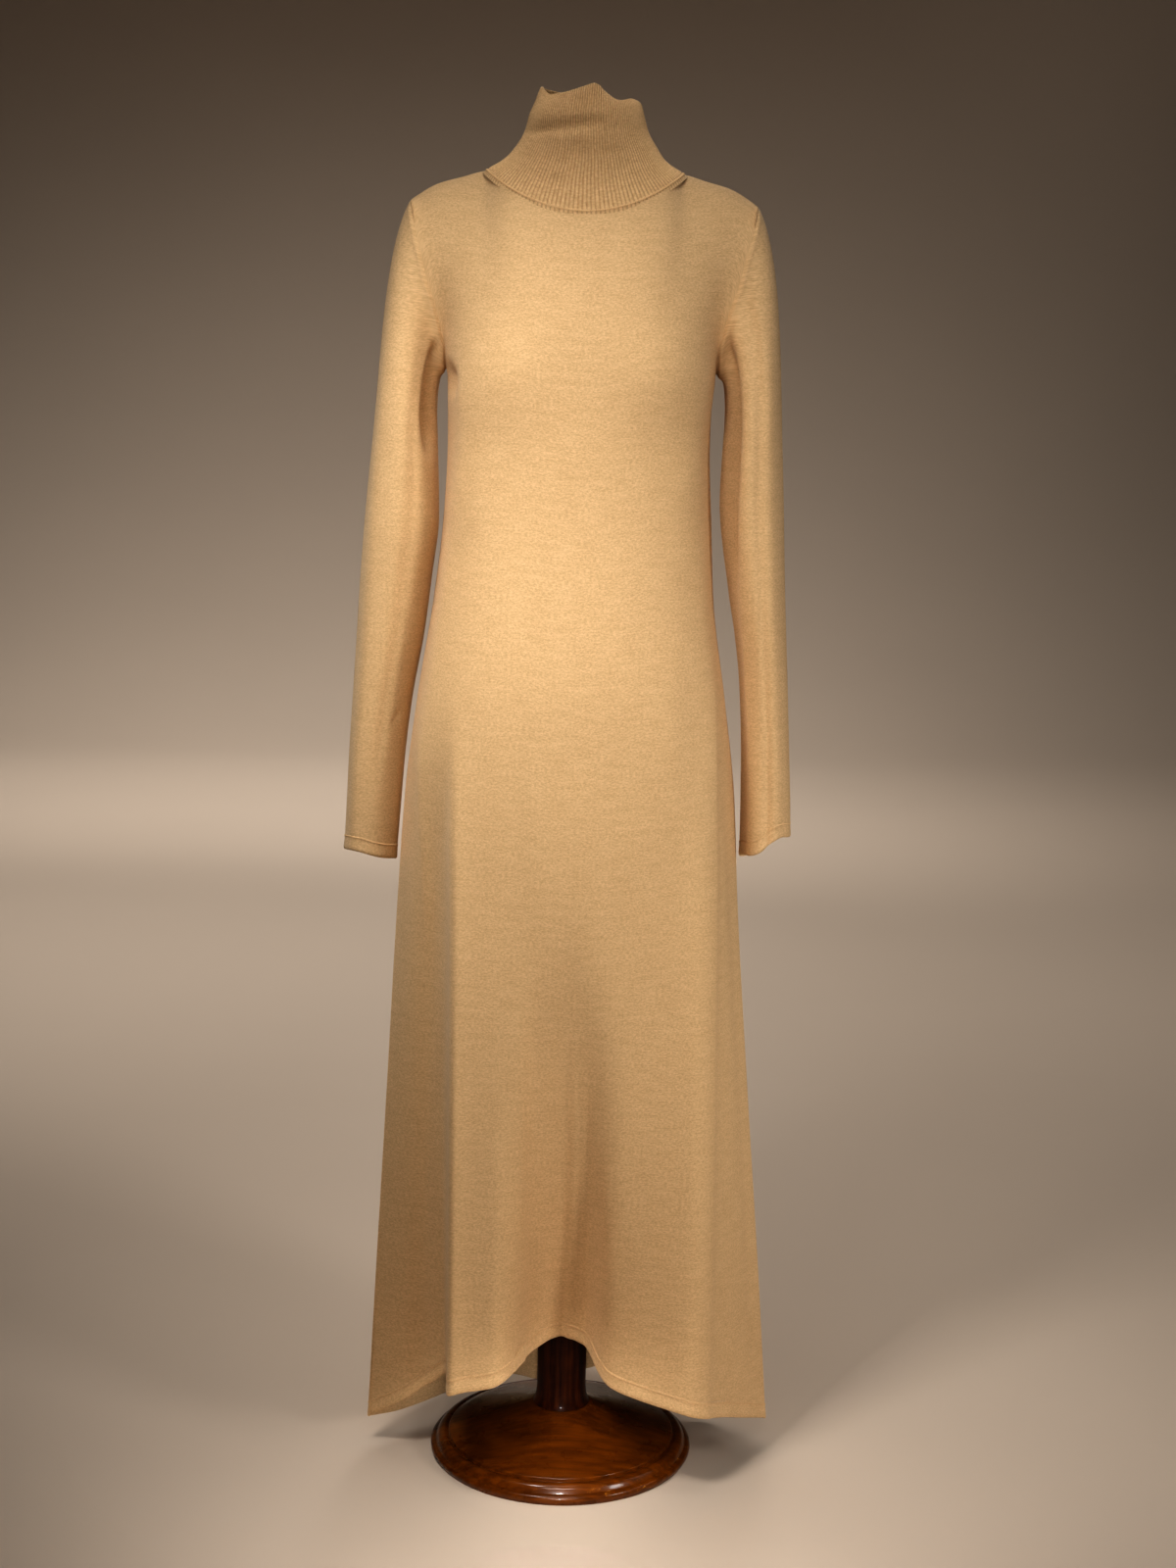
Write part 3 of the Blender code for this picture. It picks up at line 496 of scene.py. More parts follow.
class Term:
    """Value in a tree of nodes that can be added, multiplied and compared."""

    def __init__(self, tree: "NodeTree", socket: Socket) -> None:
        """Wrap an output socket."""
        self.tree = tree
        self.socket = socket

    def _math(self, operation: str, first: object, second: object = 0.0) -> "Term":
        """One Math node."""
        node = self.tree.node("ShaderNodeMath", {"operation": operation}, {0: first, 1: second})
        return Term(self.tree, node.outputs[0])

    def __add__(self, other: object) -> "Term":
        """Sum."""
        return self._math("ADD", self, other)

    def __radd__(self, other: object) -> "Term":
        """Sum."""
        return self._math("ADD", other, self)

    def __sub__(self, other: object) -> "Term":
        """Difference."""
        return self._math("SUBTRACT", self, other)

    def __rsub__(self, other: object) -> "Term":
        """Difference."""
        return self._math("SUBTRACT", other, self)

    def __mul__(self, other: object) -> "Term":
        """Product."""
        return self._math("MULTIPLY", self, other)

    def __rmul__(self, other: object) -> "Term":
        """Product."""
        return self._math("MULTIPLY", other, self)

    def __truediv__(self, other: object) -> "Term":
        """Quotient."""
        return self._math("DIVIDE", self, other)

    def absolute(self) -> "Term":
        """Size without sign."""
        return self._math("ABSOLUTE", self)

    def fraction(self) -> "Term":
        """Part after the whole number."""
        return self._math("FRACT", self)

    def cosine(self) -> "Term":
        """Cosine of an angle."""
        return self._math("COSINE", self)

    def between(self, low: float, high: float) -> "Term":
        """Smooth 0 to 1 as the value goes from low to high."""
        node = self.tree.node(
            "ShaderNodeMapRange", {"interpolation_type": "SMOOTHSTEP"},
            {"Value": self, "From Min": low, "From Max": high})
        return Term(self.tree, node.outputs["Result"])


class NodeTree:
    """Tree whose nodes are made by short calls."""

    def __init__(self, tree: bpy.types.NodeTree) -> None:
        """Wrap a tree."""
        self.nodes = tree.nodes
        self.links = tree.links

    def node(self, kind: str, settings: dict[str, object] | None = None,
             sockets: dict[str | int, object] | None = None) -> bpy.types.Node:
        """Make a node, set its settings and then its sockets.

        Args:
            kind: Type of the node.
            settings: Its settings.
            sockets: Values or links for its input sockets; a node gives its first output.

        Returns:
            The node.
        """
        made = self.nodes.new(kind)
        for key, value in (settings or {}).items():
            setattr(made, key, value)
        for key, value in (sockets or {}).items():
            self.feed(made.inputs[key], value)
        return made

    def feed(self, socket: Socket, value: object) -> None:
        """Set or link one input socket.

        Args:
            socket: The socket.
            value: A value, or what gives it: a wrapped value, an output or a node.
        """
        if isinstance(value, Term):
            value = value.socket
        elif isinstance(value, bpy.types.Node):
            value = value.outputs[0]
        if isinstance(value, Socket):
            self.links.new(value, socket)
        else:
            socket.default_value = value


class ShaderTree(NodeTree):
    """Tree of a new material."""

    def __init__(self, name: str) -> None:
        """Make a material with an empty tree but for its shader and output.

        Args:
            name: Name of the material.
        """
        self.material = bpy.data.materials.new(name)
        self.material.use_nodes = True
        super().__init__(self.material.node_tree)
        self.shader = self.nodes["Principled BSDF"]

    def place(self) -> tuple[Term, Term, Term]:
        """Place on the piece, in metres."""
        return self.parts(self.node("ShaderNodeTexCoord").outputs["Object"])

    def parts(self, vector: Socket) -> tuple[Term, Term, Term]:
        """The three numbers of a vector."""
        node = self.node("ShaderNodeSeparateXYZ", None, {0: vector})
        return tuple(Term(self, node.outputs[k]) for k in range(3))

    def joined(self, x: object, y: object, z: object = 0.0) -> Socket:
        """Vector of three numbers."""
        return self.node("ShaderNodeCombineXYZ", None, {0: x, 1: y, 2: z}).outputs[0]

    def mottle(self, place: Sequence[Term], pattern: "Mottle") -> Term:
        """Cloudy pattern from 0 to 1 over a place of two or three numbers.

        Args:
            place: The numbers.
            pattern: How often it changes, and its grain.

        Returns:
            The pattern.
        """
        stretched: list[object] = [part * often for part, often in zip(place, pattern.often)]
        if len(stretched) == 2:
            stretched.append(pattern.layer)
        node = self.node("ShaderNodeTexNoise", None,
                         {"Vector": self.joined(*stretched), "Scale": 1.0,
                          "Detail": pattern.detail, "Roughness": pattern.roughness})
        return Term(self, node.outputs[0])

    def mixed(self, factor: object, first: object, second: object) -> Socket:
        """Colour between two colours."""
        node = self.node("ShaderNodeMix", {"data_type": "RGBA"}, {0: factor, 6: first, 7: second})
        return node.outputs[2]

    def bump(self, height: object, distance: float, strength: float) -> Socket:
        """Normal tilted by a height."""
        node = self.node("ShaderNodeBump", None,
                         {"Height": height, "Distance": distance, "Strength": strength})
        return node.outputs[0]

    def dress(self, **sockets: object) -> Material:
        """Feed the shader's sockets, named with _ for a space, and return the material."""
        for key, value in sockets.items():
            self.feed(self.shader.inputs[key.replace("_", " ")], value)
        return self.material


def rgba(colour: Triple, factor: float = 1.0) -> tuple[float, ...]:
    """Colour with alpha, made lighter or darker."""
    return (*(channel * factor for channel in colour), 1.0)


class Mottle(NamedTuple):
    """Cloudy pattern: how often it changes in a metre along each axis, and its grain."""

    often: tuple[float, ...]
    detail: float
    roughness: float
    layer: float = 0.0  # keeps two patterns of the same cloth apart


class Stitch(Enum):
    """Knitted surfaces of the dress."""

    STOCKINETTE = "stockinette"
    RIB = "rib"


@dataclass(frozen=True)
class KnitFinish:
    """Fine melange knit, with its wales along the weave map's second axis."""

    name: str
    stitch: Stitch = Stitch.STOCKINETTE
    pale: Triple = (0.76, 0.52, 0.287)
    dark: Triple = (0.56, 0.362, 0.184)
    # painted shade: dark colour mixed into the grooves between ribs, where shadow would fall
    groove: Triple = (0.25, 0.12, 0.04)
    tone: float = 1.0
    wale: float = 0.00155  # width of a column of stitches
    course: float = 0.0012  # height of a stitch
    rib: float = 0.0026  # width of a rib and its groove
    rib_shade: float = 0.42  # how strongly the painted shade darkens the grooves between ribs
    relief: float = 0.00045
    fleck: Mottle = Mottle((300.0, 600.0), 3.0, 0.62)
    speck: Mottle = Mottle((620.0, 900.0), 2.0, 0.6, 4.0)
    cloud: Mottle = Mottle((42.0, 150.0), 3.0, 0.55, 9.0)
    fuzz: Mottle = Mottle((1500.0, 1500.0), 2.0, 0.7, 2.0)
    shares: Triple = (0.5, 0.34, 0.16)  # of fleck, speck and cloud in the tone
    contrast: Pair = (0.36, 0.64)  # tones that are all dark and all pale yarn
    rough: Pair = (0.82, 0.12)  # roughness, and how much more in a fleck
    heights: Pair = (0.8, 0.35)  # shares of stitches and fuzz in the relief
    nap: Triple = (1.0, 0.86, 0.66)  # tint of the soft fibre ends

    def material(self) -> Material:
        """Melange colour, stitches as relief and a soft nap; the rib stitch also gets painted shade
        in its grooves.

        Returns:
            The material.
        """
        tree = ShaderTree(self.name)
        weave = tree.node("ShaderNodeUVMap", {"uv_map": WEAVE}).outputs[0]
        across, along, _ = tree.parts(weave)
        place = (across, along)
        fleck, speck, cloud, fuzz = (tree.mottle(place, pattern) for pattern in
                                     (self.fleck, self.speck, self.cloud, self.fuzz))
        tone = fleck * self.shares[0] + speck * self.shares[1] + cloud * self.shares[2]
        colour = tree.mixed(tone.between(*self.contrast), rgba(self.dark, self.tone),
                            rgba(self.pale, self.tone))
        height = self.relief_height(tree, across, along)
        if self.stitch is Stitch.RIB:
            # painted shade: the grooves between the raised ribs are pulled towards the dark groove
            # colour
            painted_shade_between_ribs = 1.0 - height.between(0.0, 0.6)
            colour = tree.mixed(painted_shade_between_ribs * self.rib_shade, colour,
                                rgba(self.groove, self.tone))
        normal = tree.bump(height * self.heights[0] + fuzz * self.heights[1], self.relief, 0.55)
        return tree.dress(Base_Color=colour, Normal=normal,
                          Roughness=fleck * self.rough[1] + self.rough[0],
                          Sheen_Weight=0.22, Sheen_Roughness=0.45,
                          Sheen_Tint=rgba(self.nap), Specular_IOR_Level=0.18)

    def relief_height(self, tree: ShaderTree, across: Term, along: Term) -> Term:
        """Height of the stitches from 0 to 1.

        Args:
            tree: Shader tree to build in.
            across: Place across the wales.
            along: Place along the wales.

        Returns:
            The height.
        """
        if self.stitch is Stitch.RIB:
            return (across * (math.tau / self.rib)).cosine() * 0.5 + 0.5
        # each wale is two legs of a V: round strands that rise towards the wale's sides
        column = across / self.wale
        lean = (column.fraction() - 0.5).absolute()
        leg = (lean - 0.25) * 4.0
        strand = 1.0 - leg * leg
        loop = ((along / self.course - lean * 0.9) * math.tau).cosine() * 0.5 + 0.5
        return strand * (loop * 0.55 + 0.45)


@dataclass(frozen=True)
class LinenFinish:
    """Plain linen cover of the form."""

    name: str
    colour: Triple = (0.56, 0.5, 0.41)
    thread: float = 0.0009
    shades: Pair = (0.72, 1.12)  # darkest and palest, as shares of the colour
    slubs: Mottle = Mottle((90.0, 90.0, 700.0), 3.0, 0.6)

    def material(self) -> Material:
        """Plain weave with slubs.

        Returns:
            The material.
        """
        tree = ShaderTree(self.name)
        x, y, z = tree.place()
        around = (x + y) / self.thread
        warp = (around * math.pi).cosine().absolute()
        weft = ((z / self.thread) * math.pi).cosine().absolute()
        slub = tree.mottle((x, y, z), self.slubs)
        tone = slub * 0.5 + warp * 0.15 + weft * 0.15
        colour = tree.mixed(tone, *(rgba(self.colour, shade) for shade in self.shades))
        normal = tree.bump(warp * 0.5 + weft * 0.5 + slub, 0.0003, 0.35)
        return tree.dress(Base_Color=colour, Roughness=slub * 0.1 + 0.78, Normal=normal,
                          Sheen_Weight=0.1, Specular_IOR_Level=0.2)


class Grain(Enum):
    """How the wood's grain runs: how often it changes in a metre along each axis."""

    UPRIGHT = (150.0, 150.0, 9.0)
    LEVEL = (14.0, 170.0, 150.0)


@dataclass(frozen=True)
class VarnishFinish:
    """Turned hardwood under a dark red-brown varnish, worn to amber on its edges."""

    name: str
    grain: Grain = Grain.UPRIGHT
    dark: Triple = (0.0125, 0.0028, 0.0012)
    warm: Triple = (0.078, 0.019, 0.0035)
    amber: Triple = (0.52, 0.22, 0.03)
    coat: float = 1.0
    gloss: float = 0.2  # roughness where the varnish is whole
    wear_low: float = 0.6  # noise above which the varnish is worn
    wear_height: float = 0.0  # wear shows below this height
    wear_edge: float = 0.1  # noise over which the wear's edge is soft
    contrast: Pair = (0.36, 0.7)  # streaks that are all dark and all warm
    patches: Mottle = Mottle((22.0, 22.0, 30.0), 4.0, 0.62)
    chips: Mottle = Mottle((75.0, 75.0, 160.0), 5.0, 0.7)
    scratches: Mottle = Mottle((420.0, 420.0, 420.0), 3.0, 0.6)

    def material(self) -> Material:
        """Streaked grain, worn patches, fine scratches and a clear coat.

        Returns:
            The material.
        """
        tree = ShaderTree(self.name)
        place = tree.place()
        grain = Mottle(self.grain.value, 5.0, 0.62)
        streak, patch, chip, fine = (tree.mottle(place, pattern) for pattern in
                                     (grain, self.patches, self.chips, self.scratches))
        colour = tree.mixed((streak * 0.7 + patch * 0.3).between(*self.contrast),
                            rgba(self.dark), rgba(self.warm))
        low = 1.0 - place[2].between(self.wear_height * 0.6, self.wear_height + 0.001)
        worn = (chip * 0.6 + patch * 0.4).between(self.wear_low,
                                                  self.wear_low + self.wear_edge) * low
        colour = tree.mixed(worn, colour, rgba(self.amber))
        rough = patch * 0.16 + worn * 0.25 + self.gloss
        normal = tree.bump(streak * 0.3 + fine * 0.12 - worn * 0.5, 0.0004, 0.22)
        return tree.dress(Base_Color=colour, Roughness=rough, Normal=normal,
                          Coat_Weight=(1.0 - worn * 0.7) * self.coat, Coat_Roughness=0.11,
                          Specular_IOR_Level=0.45 * self.coat)


@dataclass(frozen=True)
class FloorFinish:
    """Plain pale matt floor and backdrop."""

    name: str
    colour: Triple = (0.56, 0.455, 0.362)
    clouds: Mottle = Mottle((1.3, 1.3, 1.3), 3.0, 0.5)

    def material(self) -> Material:
        """Matt paint with a trace of unevenness.

        Returns:
            The material.
        """
        tree = ShaderTree(self.name)
        cloud = tree.mottle(tree.place(), self.clouds)
        colour = tree.mixed(cloud, rgba(self.colour, 0.97), rgba(self.colour, 1.03))
        return tree.dress(Base_Color=colour, Roughness=0.85, Specular_IOR_Level=0.2)


# --- the cut of the dress ---

class Level(NamedTuple):
    """Level section of the dress body."""

    z: float
    x_min: float
    x_max: float
    front: float
    back: float
    power: float


class FoldLine(NamedTuple):
    """Fold line of a panel, from the hem to the underarm level."""

    hem_x: float  # where it meets the hem's edge
    hem_y: float
    hem_z: float
    hip: float  # shares of the half width at the hip and at the chest
    chest: float
    start: float  # height below which the fold grows
    growth: float  # 1 for even growth, more for growth near the hem


class Width(NamedTuple):
    """Half width of the dress at a height."""

    z: float
    x: float


@dataclass(frozen=True)
class DressCut:
    """Sizes that the pieces of the dress share."""

    underarm_z: float = 1.19
    hip_z: float = 0.8
    shoulder_tip_z: float = 1.36
    neck_point_z: float = 1.3895  # where neckline and shoulder meet
    shoulder_half: float = 0.1765
    neck_half: float = 0.101
    neck_front: Pair = (-0.078, 1.3475)  # y and z of its lowest point
    neck_back: Pair = (0.062, 1.399)
    armhole_depth: float = 0.047
    hem_band: float = 0.017  # heights of the turned edges
    cuff_band: float = 0.015
    wall: float = 0.0016
    neck_stop: float = 0.45  # share of a panel's top at which the neck point lies
    top_stops: tuple[float, ...] = (-1.0, -0.8, -0.62, -0.45, -0.31, -0.155, 0.0,
                                    0.155, 0.31, 0.45, 0.62, 0.8, 1.0)
    body: tuple[Level, ...] = tuple(Level(*row) for row in (
        (0.03, -0.2175, 0.232, 0.1, 0.112, 2.2),
        (0.2, -0.209, 0.218, 0.104, 0.106, 2.2),
        (0.42, -0.1975, 0.198, 0.11, 0.103, 2.2),
        (0.63, -0.1868, 0.18, 0.116, 0.101, 2.3),
        (0.75, -0.179, 0.1722, 0.119, 0.104, 2.3),
        (0.85, -0.1668, 0.1592, 0.119, 0.103, 2.3),
        (0.96, -0.1497, 0.1435, 0.112, 0.091, 2.3),
        (1.04, -0.1408, 0.139, 0.108, 0.083, 2.4),
        (1.12, -0.137, 0.135, 0.113, 0.086, 2.5),
        (1.19, -0.138, 0.1365, 0.119, 0.091, 2.5),
    ))
    armhole: tuple[Width, ...] = (
        Width(1.19, 0.139), Width(1.212, 0.1392), Width(1.232, 0.1428),
        Width(1.256, 0.149), Width(1.28, 0.157), Width(1.311, 0.165),
        Width(1.335, 0.1712), Width(1.36, 0.1765),
    )
    shoulder: Profile = (  # distance from the middle, height
        (0.101, 1.3895), (0.116, 1.3855), (0.133, 1.3808), (0.15, 1.3757),
        (0.164, 1.3702), (0.1725, 1.3652), (0.1765, 1.36),
    )

    def section(self, share: Grid, z: Grid, side: float) -> Grid:
        """Points of the plain body; share runs -1 to 1 from side to side.

        Args:
            share: Place across the half section.
            z: Heights.
            side: -1 for the front and 1 for the back.

        Returns:
            The points.
        """
        z = np.atleast_1d(z).astype(float)
        share = np.broadcast_to(share, z.shape)
        low, high = read(self.body, "x_min", z), read(self.body, "x_max", z)
        depth = read(self.body, "front" if side < 0 else "back", z)
        power = read(self.body, "power", z)
        inside = np.clip(1.0 - np.abs(share) ** power, 0.0, None)
        x = (low + high) / 2 + share * (high - low) / 2
        return np.stack([x, side * depth * inside ** (1.0 / power), z], axis=-1)

    def neckline(self, turn: Grid, side: float) -> Grid:
        """Points of the neckline; turn runs -1 to 1 between the neck points.

        Args:
            turn: Places along it.
            side: -1 for the front and 1 for the back.

        Returns:
            The points.
        """
        angle = math.pi / 2 * np.atleast_1d(turn)
        depth, height = self.neck_front if side < 0 else self.neck_back
        drop = height - self.neck_point_z
        cosine = np.clip(np.cos(angle), 0.0, 1.0)
        return np.stack([self.neck_half * np.sin(angle), depth * cosine,
                         self.neck_point_z + drop * cosine ** NECK_POWER], axis=-1)

    def top(self, stop: float, side: float) -> Grid:
        """Point of the neckline and shoulder seams; -1 and 1 are the shoulder tips.

        Args:
            stop: Place along them.
            side: -1 for the front and 1 for the back.

        Returns:
            The point.
        """
        if abs(stop) <= self.neck_stop:
            return self.neckline(stop / self.neck_stop, side)[0]
        part = (abs(stop) - self.neck_stop) / (1.0 - self.neck_stop)
        x = self.neck_half + (self.shoulder_half - self.neck_half) * part
        seam = np.array(self.shoulder)
        z = smooth(seam[:, 1:], seam[:, 0], np.array([x]))[0, 0]
        return np.array([math.copysign(x, stop), 0.0, z])

    def armhole_points(self, turn: Grid, hand: float, side: Grid) -> Grid:
        """Points of an armhole seam; turn 0 is the underarm and 1 the shoulder tip.

        Args:
            turn: Places along it.
            hand: 1 for the wearer's left and -1 for the right.
            side: -1 for the front and 1 for the back.

        Returns:
            The points.
        """
        angle = math.pi * (1.0 - np.atleast_1d(turn))
        middle = (self.shoulder_tip_z + self.underarm_z) / 2
        half = (self.shoulder_tip_z - self.underarm_z) / 2
        z = middle + half * np.cos(angle)
        x = hand * read(self.armhole, "x", z)
        return np.stack([x, side * self.armhole_depth * np.sin(angle), z], axis=-1)


def seam_dip(distance: Grid, depth: float = SEAM_DEPTH, width: float = SEAM_WIDTH) -> Grid:
    """Depth of the soft groove that a seam draws in the cloth."""
    return -depth * np.exp(-(distance / width) ** 2)


@dataclass
class BodyPanel:
    """Front or back of the dress, from its turned hem to the shoulders and neckline."""

    name: str
    hem_name: str
    side: float
    lines: tuple[FoldLine, ...]
    creases: tuple[Crease, ...] = ()
    cut: DressCut = field(default_factory=DressCut)
    per_line: int = 14
    band_rows: int = 4
    skirt_rows: int = 196  # from the band up to the underarm
    chest_rows: int = 64
    hem_profile: Profile = (  # height above the edge, standing out
        (0.019, -0.0005), (0.0185, -0.0001), (0.0177, 0.0002), (0.0167, 0.0004),
        (0.0157, 0.0003), (0.0146, 0.0002), (0.011, 0.0004), (0.005, 0.0008),
        (0.0018, 0.0006), (0.0004, -0.0003), (0.0, -0.0012), (0.0005, -0.0021),
        (0.0018, -0.0026), (0.009, -0.0027), (0.016, -0.0026), (0.0178, -0.0016),
    )
    stitch_height: float = 0.0171
    stitch_stand: float = 0.0006
    soft_rows: int = 9  # rows over which the bends of a fold line are rounded off
    even_rows: int = 40  # rows below the underarm from which the sheet is evened out
    even_passes: int = 220
    calm_edge: float = 0.03  # width along the side seams that creases leave calm
    chest_pull: float = 0.36  # how straight the chest goes on from the skirt
    top_pull: Pair = (0.3, 0.08)  # how straight it meets the top midway, and how much more outwards
    top_way: Pair = (0.5, 0.87)  # its way over the top edge midway: back and up
    top_turn: float = 0.34  # how much flatter that way is at the neck point and shoulder
    shoulder_fill: float = 0.0032  # how far the cloth rounds up over the shoulders
    shoulder_reach: float = 0.022
    shoulder_start: float = 0.12  # share of the top's half at which the rise starts
    shoulder_ease: float = 0.42

    def skirt_line(self, line: FoldLine, share: Grid) -> Grid:
        """Points of a fold line between the hem (0) and the underarm level (1).

        Args:
            line: The fold line.
            share: Places along it.

        Returns:
            The points.
        """
        cut = self.cut
        z = line.hem_z + (cut.underarm_z - line.hem_z) * share
        part = (z - cut.hip_z) / (cut.underarm_z - cut.hip_z)
        upper = cut.section(line.hip + (line.chest - line.hip) * np.clip(part, 0, 1), z, self.side)
        plain = cut.section(line.hip, z, self.side)
        fall = (cut.hip_z - z) / (cut.hip_z - line.hem_z)
        at_hip = cut.section(line.hip, cut.hip_z, self.side)[0, 0]
        if abs(line.hip) < 1.0:
            plain[:, 0] = at_hip + (line.hem_x - at_hip) * fall
        else:
            at_hem = cut.section(line.hip, line.hem_z, self.side)[0, 0]
            plain[:, 0] += (line.hem_x - at_hem) * fall
        weight = np.clip((line.start - z) / (line.start - line.hem_z), 0.0, None)
        plain[:, 1] += (line.hem_y - plain[:, 1]) * weight ** line.growth
        return np.where((z >= cut.hip_z)[:, None], upper, plain)

    def chest_line(self, index: int, turn: Grid) -> Grid:
        """Points of a fold line between the underarm level (0) and the top edge (1).

        Args:
            index: Number of the fold line.
            turn: Places along it.

        Returns:
            The points.
        """
        cut = self.cut
        last = len(cut.top_stops) - 1
        if index in (0, last):
            return cut.armhole_points(turn, -1.0 if index == 0 else 1.0, self.side)
        below, low = self.skirt_line(self.lines[index], np.array([0.96, 1.0]))
        high = cut.top(cut.top_stops[index], self.side)
        reach = np.linalg.norm(high - low)
        level = min(1.0, abs(cut.top_stops[index]) / cut.neck_stop)
        back, up = self.top_way
        over = unit(np.array([0.0, -self.side * (back + self.top_turn * level),
                              up - self.top_turn * level]))
        return bezier(low, low + unit(low - below) * reach * self.chest_pull,
                      high - over * reach * (self.top_pull[0] + self.top_pull[1] * level),
                      high, turn)

    def across(self, anchors: Grid) -> Grid:
        """Points across one row of fold lines.

        Args:
            anchors: Points of the fold lines in that row.

        Returns:
            The points, per_line for each line and one more.
        """
        lengths = np.linalg.norm(np.diff(anchors, axis=0), axis=1)
        knots = running(np.maximum(lengths, 1e-6))
        parts = np.arange(self.per_line) / self.per_line
        at = (knots[:-1, None] + np.diff(knots)[:, None] * parts).ravel()
        return smooth(anchors, knots, np.append(at, knots[-1]))

    def plain_grid(self) -> Grid:
        """Outer points before the creases, from the hem's edge to the top.

        Returns:
            The points as rows and columns.
        """
        turn = np.linspace(0.0, 1.0, self.chest_rows + 1)[1:]
        columns = []
        for index, line in enumerate(self.lines):
            band = self.cut.hem_band / (self.cut.underarm_z - line.hem_z)
            share = np.concatenate([np.linspace(0.0, band, self.band_rows + 1)[:-1],
                                    np.linspace(band, 1.0, self.skirt_rows + 1)])
            whole = np.concatenate([self.skirt_line(line, share), self.chest_line(index, turn)])
            is_seam = index in (0, len(self.lines) - 1)
            columns.append(whole if is_seam else soften(whole, self.soft_rows))
        anchors = np.stack(columns, axis=1)
        return np.array([self.across(row) for row in anchors])

    def outer(self) -> tuple[Grid, Grid]:
        """Outer points with their creases and seams, and the directions out of the cloth.

        Returns:
            The points and the directions.
        """
        first_row = self.band_rows + self.skirt_rows - self.even_rows
        grid = relax(self.plain_grid(), first_row, self.even_passes)
        away = grid * LEVEL_WAY + np.array([0.0, 0.0, 1e-4])
        normals = grid_normals(grid, away)
        lengths = arc_lengths(grid, 1)
        edge = np.minimum(lengths, lengths[:, -1:] - lengths)
        lift = crease_rise(self.creases, grid[..., [0, 2]]) * ease(edge / self.calm_edge)
        lift += seam_dip(edge) + self.shoulder_lift(grid, edge)
        return grid + normals * lift[..., None], normals

    def shoulder_lift(self, grid: Grid, edge: Grid) -> Grid:
        """Rise that rounds the cloth over the shoulders and leaves its border in place.

        Args:
            grid: Outer points.
            edge: Distance of each point from the nearer side seam or armhole.

        Returns:
            The rise at each point.
        """
        down = arc_lengths(grid[::-1], 0)[::-1] / self.shoulder_reach
        stops = np.abs(self.cut.top_stops)
        stop = np.interp(np.arange(grid.shape[1]) / self.per_line, np.arange(len(stops)), stops)
        weight = (ease((stop - self.shoulder_start) / self.shoulder_ease)
                  * ease(edge / self.calm_edge))
        return self.shoulder_fill * weight * down * np.exp(1.0 - down)

    def weave(self, grid: Grid) -> Grid:
        """Cloth coordinates: level distance from the middle line, and height up the cloth."""
        climb = grid[:1, :, 2] + arc_lengths(grid * np.array([0.0, 1.0, 1.0]), 0)
        return cloth_places(grid, climb)

    def stitch_path(self) -> tuple[Grid, Grid]:
        """Line of the hem's stitches, and the directions out of the cloth."""
        edge = self.edge(*self.outer())
        return edge.line(self.stitch_height, self.stitch_stand), edge.level

    def edge(self, grid: Grid, normals: Grid) -> Edge:
        """Edge of the hem."""
        return Edge(grid[0], unit(grid[self.band_rows] - grid[0]), unit(normals[0] * LEVEL_WAY))

    def build(self) -> tuple[Piece, Piece]:
        """Build the panel above its hem, and the turned hem.

        Returns:
            The panel and the hem.
        """
        grid, normals = self.outer()
        weave = self.weave(grid)
        above = slice(self.band_rows, None)
        panel = cloth_wall(self.name, grid[above], normals[above], weave[above], self.cut.wall)
        edge = self.edge(grid, normals)
        return panel, edge.band(self.hem_name, self.hem_profile, weave[0, :, 0], False)


FRONT_LINES = tuple(FoldLine(*row) for row in (
    (-0.2165, 0.0, 0.031, -1.0, -1.0, 0.8, 1.0),
    (-0.172, -0.02, 0.0605, -0.93, -0.93, 0.8, 0.9),
    (-0.129, -0.034, 0.098, -0.78, -0.82, 0.82, 0.9),
    (-0.1165, -0.126, 0.116, -0.665, -0.68, 0.8, 0.9),
    (-0.076, -0.127, 0.124, -0.45, -0.48, 0.7, 1.2),
    (-0.0265, -0.058, 0.1405, -0.19, -0.23, 0.6, 1.5),
    (-0.001, -0.041, 0.1458, 0.005, 0.0, 0.62, 1.6),
    (0.024, -0.049, 0.14, 0.22, 0.24, 0.6, 1.5),
    (0.057, -0.084, 0.11, 0.43, 0.48, 0.6, 1.3),
    (0.088, -0.106, 0.103, 0.62, 0.68, 0.7, 1.0),
    (0.131, -0.117, 0.0935, 0.79, 0.82, 0.8, 0.9),
    (0.183, -0.064, 0.067, 0.925, 0.93, 0.8, 0.9),
    (0.23, 0.0, 0.037, 1.0, 1.0, 0.8, 1.0),
))

BACK_LINES = tuple(FoldLine(*row) for row in (
    (-0.2165, 0.0, 0.031, -1.0, -1.0, 0.8, 1.0),
    (-0.18, 0.034, 0.0245, -0.93, -0.93, 0.8, 1.0),
    (-0.137, 0.066, 0.029, -0.79, -0.82, 0.75, 1.0),
    (-0.098, 0.122, 0.031, -0.64, -0.68, 0.78, 1.0),
    (-0.058, 0.11, 0.035, -0.43, -0.48, 0.7, 1.2),
    (-0.022, 0.084, 0.042, -0.21, -0.24, 0.7, 1.3),
    (0.014, 0.1, 0.044, 0.005, 0.0, 0.66, 1.3),
    (0.052, 0.124, 0.04, 0.22, 0.24, 0.72, 1.1),
    (0.086, 0.104, 0.038, 0.43, 0.48, 0.72, 1.1),
    (0.118, 0.079, 0.036, 0.62, 0.68, 0.7, 1.2),
    (0.154, 0.083, 0.03, 0.79, 0.82, 0.76, 1.0),
    (0.195, 0.05, 0.031, 0.925, 0.93, 0.8, 1.0),
    (0.23, 0.0, 0.037, 1.0, 1.0, 0.8, 1.0),
))

